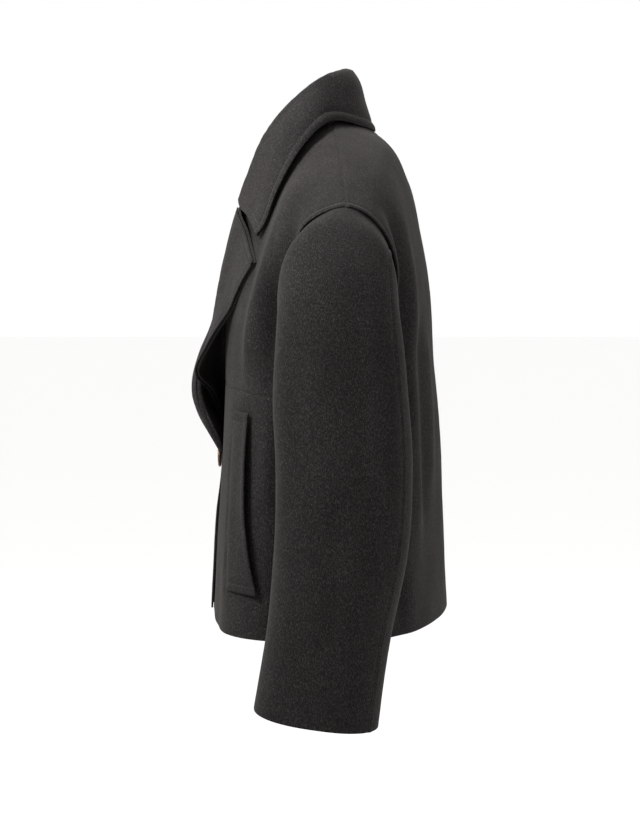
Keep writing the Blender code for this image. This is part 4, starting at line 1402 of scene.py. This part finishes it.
# ------------------------------------------------------------------ buttons
@dataclass
class HornButtons:
    """Two turned horn buttons, four-holed, on the right front.

    Attributes:
        radius: Radius of a button in centimetres.
        thick: Its thickness.
        holes: Distance of a hole from the middle, across and along.
        bore: Radius of a hole.
        strand: Radius of a strand of its thread.
        strands_apart: Distance between two strands that pass the same holes.
        facets: Faces round it.
        profile: Reach and height of its turned outline, from the middle of its face to its back.
    """

    radius: float = 1.05
    thick: float = 0.36
    holes: float = 0.21
    bore: float = 0.09
    strand: float = 0.03
    strands_apart: float = 0.045
    facets: int = 48
    profile: tuple[Spot, ...] = (
        (0.0, 0.16), (0.40, 0.16), (0.50, 0.20), (0.60, 0.34), (0.70, 0.46), (0.82, 0.50),
        (0.93, 0.44), (0.99, 0.26), (1.0, 0.05), (0.97, -0.22), (0.86, -0.42), (0.6, -0.5), (0.0, -0.5),
    )

    def build(self, name: str, finishes: Wardrobe, cloth: bpy.types.Object) -> None:
        """Builds the button that stands for a node of the same name, seated on its cloth.

        Args:
            name: Name of the node.
            finishes: Shared finishes.
            cloth: The front that it is sewn to.
        """
        low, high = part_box(name)
        middle = (Vector(low) + Vector(high)) / 2
        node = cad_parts[name]
        corners = np.array([node.matrix_world @ v.co for v in node.data.vertices])
        out = Vector(np.linalg.svd(corners - corners.mean(axis=0), full_matrices=False)[2][2])
        out = out if out.y < 0 else -out
        turn = Vector((0.0, 0.0, 1.0)).rotation_difference(out).to_matrix().to_4x4()
        r, t = self.radius * CM, self.thick * CM
        mesh = bmesh.new()
        rings = []
        for reach, height in self.profile:
            if reach == 0.0:
                rings.append([mesh.verts.new((0.0, 0.0, height * t))])
                continue
            rings.append([mesh.verts.new((reach * r * np.cos(a), reach * r * np.sin(a), height * t))
                          for a in np.linspace(0, 2 * np.pi, self.facets, endpoint=False)])
        for ring, following in zip(rings[:-1], rings[1:]):
            for i in range(self.facets):
                quad = (ring[i % len(ring)], following[i % len(following)],
                        following[(i + 1) % len(following)], ring[(i + 1) % len(ring)])
                mesh.faces.new(tuple(dict.fromkeys(quad)))
        bmesh.ops.recalc_face_normals(mesh, faces=mesh.faces)
        disc = show(name + "_horn", mesh, finishes.horn)
        self.pierce(disc)
        disc.data.transform(turn)
        middle = middle - out * self.clearance(disc, middle, out, cloth)
        for vertex in disc.data.vertices:
            vertex.co += middle
        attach(disc, "root")
        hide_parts(name)
        self.tie(name, turn, middle, finishes)
        LOG.info("%s: %d faces", name, len(disc.data.polygons))

    def clearance(self, disc: bpy.types.Object, middle: Vector, out: Vector,
                  cloth: bpy.types.Object) -> float:
        """Measures how far a button stands off the cloth behind it.

        Args:
            disc: The button, turned but still at the origin.
            middle: Where its middle is wanted.
            out: Direction that its face looks in.
            cloth: The cloth that it is sewn to.

        Returns:
            How far it may move back, in metres.
        """
        graph = bpy.context.evaluated_depsgraph_get()
        tree = BVHTree.FromObject(cloth.evaluated_get(graph), graph)
        gaps = []
        for vertex in list(disc.data.vertices)[::5]:
            start = vertex.co + middle + out * 0.03
            hit = tree.ray_cast(start, -out)[0]
            if hit is not None and vertex.co.dot(out) < 0.0:
                gaps.append((start - hit).dot(out) - 0.03)
        return min(gaps, default=0.0) - 0.0002

    def pierce(self, disc: bpy.types.Object) -> None:
        """Drills the four holes through a button.

        Args:
            disc: The button, lying flat at the origin.
        """
        drill = bmesh.new()
        for x in (-1, 1):
            for y in (-1, 1):
                made = bmesh.ops.create_cone(drill, cap_ends=True, segments=14, radius1=self.bore * CM,
                                             radius2=self.bore * CM, depth=2.0 * CM)
                bmesh.ops.translate(drill, verts=made["verts"],
                                    vec=(x * self.holes * CM, y * self.holes * CM, 0.0))
        tool = show("drill", drill)
        cut = disc.modifiers.new("holes", "BOOLEAN")
        cut.object = tool
        cut.solver = "EXACT"
        cut.operation = "DIFFERENCE"
        made = bpy.data.meshes.new_from_object(disc.evaluated_get(bpy.context.evaluated_depsgraph_get()))
        disc.modifiers.remove(cut)
        disc.data = made
        bpy.data.objects.remove(tool)

    def tie(self, name: str, turn: Matrix, middle: Vector, finishes: Wardrobe) -> None:
        """Winds thread through the holes of a button, in two parallel bars.

        Args:
            name: Name of the button.
            turn: Turn from a flat button to the real one.
            middle: Where the button's middle is.
            finishes: Shared finishes.
        """
        mesh = bmesh.new()
        for x in (-1, 1):
            for strand in (-1.0, 0.0, 1.0):
                rings = []
                for k in range(11):
                    s = -1.0 + 0.2 * k
                    place = np.array((x * self.holes + strand * self.strands_apart, s * self.holes,
                                      self.thick * 0.16 + 0.05 * (1.0 - s ** 4) - 0.10 * abs(s) ** 6))
                    rings.append([mesh.verts.new((place + (self.strand * np.cos(a), 0.0,
                                                           self.strand * np.sin(a))) * CM)
                                  for a in np.linspace(0, 2 * np.pi, 6, endpoint=False)])
                for ring, following in zip(rings[:-1], rings[1:]):
                    for i in range(6):
                        mesh.faces.new((ring[i], ring[(i + 1) % 6], following[(i + 1) % 6], following[i]))
                mesh.faces.new(rings[0])
                mesh.faces.new(rings[-1])
        bmesh.ops.recalc_face_normals(mesh, faces=mesh.faces)
        bars = show(name + "_thread", mesh, finishes.thread)
        bars.data.transform(turn)
        for vertex in bars.data.vertices:
            vertex.co += middle
        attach(bars, "root")


# ------------------------------------------------------------------ studio
@dataclass
class Studio:
    """A pale floor, a pale room, soft lamps and the camera at the photograph's angle.

    Attributes:
        eye: Place of the camera, in metres.
        tilt: How far it looks down, in degrees.
        lens: Focal length in millimetres on a 36 mm sensor.
        floor: Height of the floor.
        lamps: Name, place, aim, size in metres, power in watts and cone in degrees of each lamp.
    """

    eye: Point = (3.1214, -0.01721, -0.01149)
    tilt: float = 5.9945
    lens: float = 120.64
    floor: float = -1.45
    lamps: tuple = (
        ("above", (-0.35, -0.45, 2.0), (0.0, 0.0, -0.05), 0.9, 66.0, 180.0),
        ("front", (0.6, -1.1, 0.9), (0.12, -0.1, -0.08), 0.5, 8.0, 70.0),
        ("behind", (-0.5, 1.5, 1.2), (0.1, 0.1, -0.1), 0.8, 12.0, 180.0),
    )

    def build(self) -> None:
        """Sets up the floor, the room, the lamps and the camera."""
        self.add_floor()
        self.add_room()
        for lamp in self.lamps:
            self.add_lamp(*lamp)
        self.add_camera()

    def add_floor(self) -> None:
        """Adds a plain pale floor under the coat."""
        bpy.ops.mesh.primitive_plane_add(size=30.0, location=(0.0, 0.0, self.floor))
        floor = bpy.context.object
        floor.name = "floor"
        paint = bpy.data.materials.new("matt_white_paint")
        paint.use_nodes = True
        fill(paint.node_tree.nodes["Principled BSDF"], {"Base Color": linear("#fbfbfa"), "Roughness": 0.9})
        floor.data.materials.append(paint)

    def add_room(self) -> None:
        """Adds an even pale light from all round."""
        world = bpy.data.worlds.new("pale_room")
        bpy.context.scene.world = world
        world.use_nodes = True
        fill(world.node_tree.nodes["Background"], {"Color": (1.0, 1.0, 1.0, 1.0), "Strength": 1.0})

    @staticmethod
    def add_lamp(name: str, place: Point, aim: Point, size: float, power: float, spread: float) -> None:
        """Adds a soft square lamp.

        Args:
            name: Name of the lamp.
            place: Where it hangs.
            aim: What it points at.
            size: Length of its side.
            power: Its power in watts.
            spread: Angle of its cone, in degrees.
        """
        data = bpy.data.lights.new(name, "AREA")
        data.size = size
        data.energy = power
        data.spread = np.radians(spread)
        lamp = bpy.data.objects.new(name, data)
        lamp.location = place
        lamp.rotation_euler = (Vector(aim) - Vector(place)).to_track_quat("-Z", "Y").to_euler()
        bpy.context.scene.collection.objects.link(lamp)

    def add_camera(self) -> None:
        """Adds a long lens, level with the nape and looking down a little along -X."""
        data = bpy.data.cameras.new("camera")
        data.lens = self.lens
        data.sensor_width = 36.0
        data.sensor_fit = "AUTO"
        camera = bpy.data.objects.new("camera", data)
        camera.location = self.eye
        camera.rotation_euler = Euler((np.radians(90.0 - self.tilt), 0.0, np.radians(90.0)))
        bpy.context.scene.collection.objects.link(camera)
        bpy.context.scene.camera = camera
        bpy.context.scene.view_settings.view_transform = "Standard"


def main() -> None:
    """Builds the coat, piece by piece, and the studio round it."""
    logging.basicConfig(level=logging.INFO, format="%(name)s %(message)s")
    finishes = Wardrobe(FeltedWool().build(), TurnedHorn().build(), SpunThread().build())
    fronts, back, sleeve = Fronts(), Back(), Sleeve()
    back.build(fronts, finishes)
    for side in Side:
        fronts.build(side, finishes)
        sleeve.build(side, fronts, back, finishes)
    Collar().build(finishes)
    for name in ("button_over", "button_twin"):
        HornButtons().build(name, finishes, bpy.data.objects["right_front_lower_cloth"])
    Studio().build()
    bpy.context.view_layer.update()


if __name__ == "__main__":
    main()
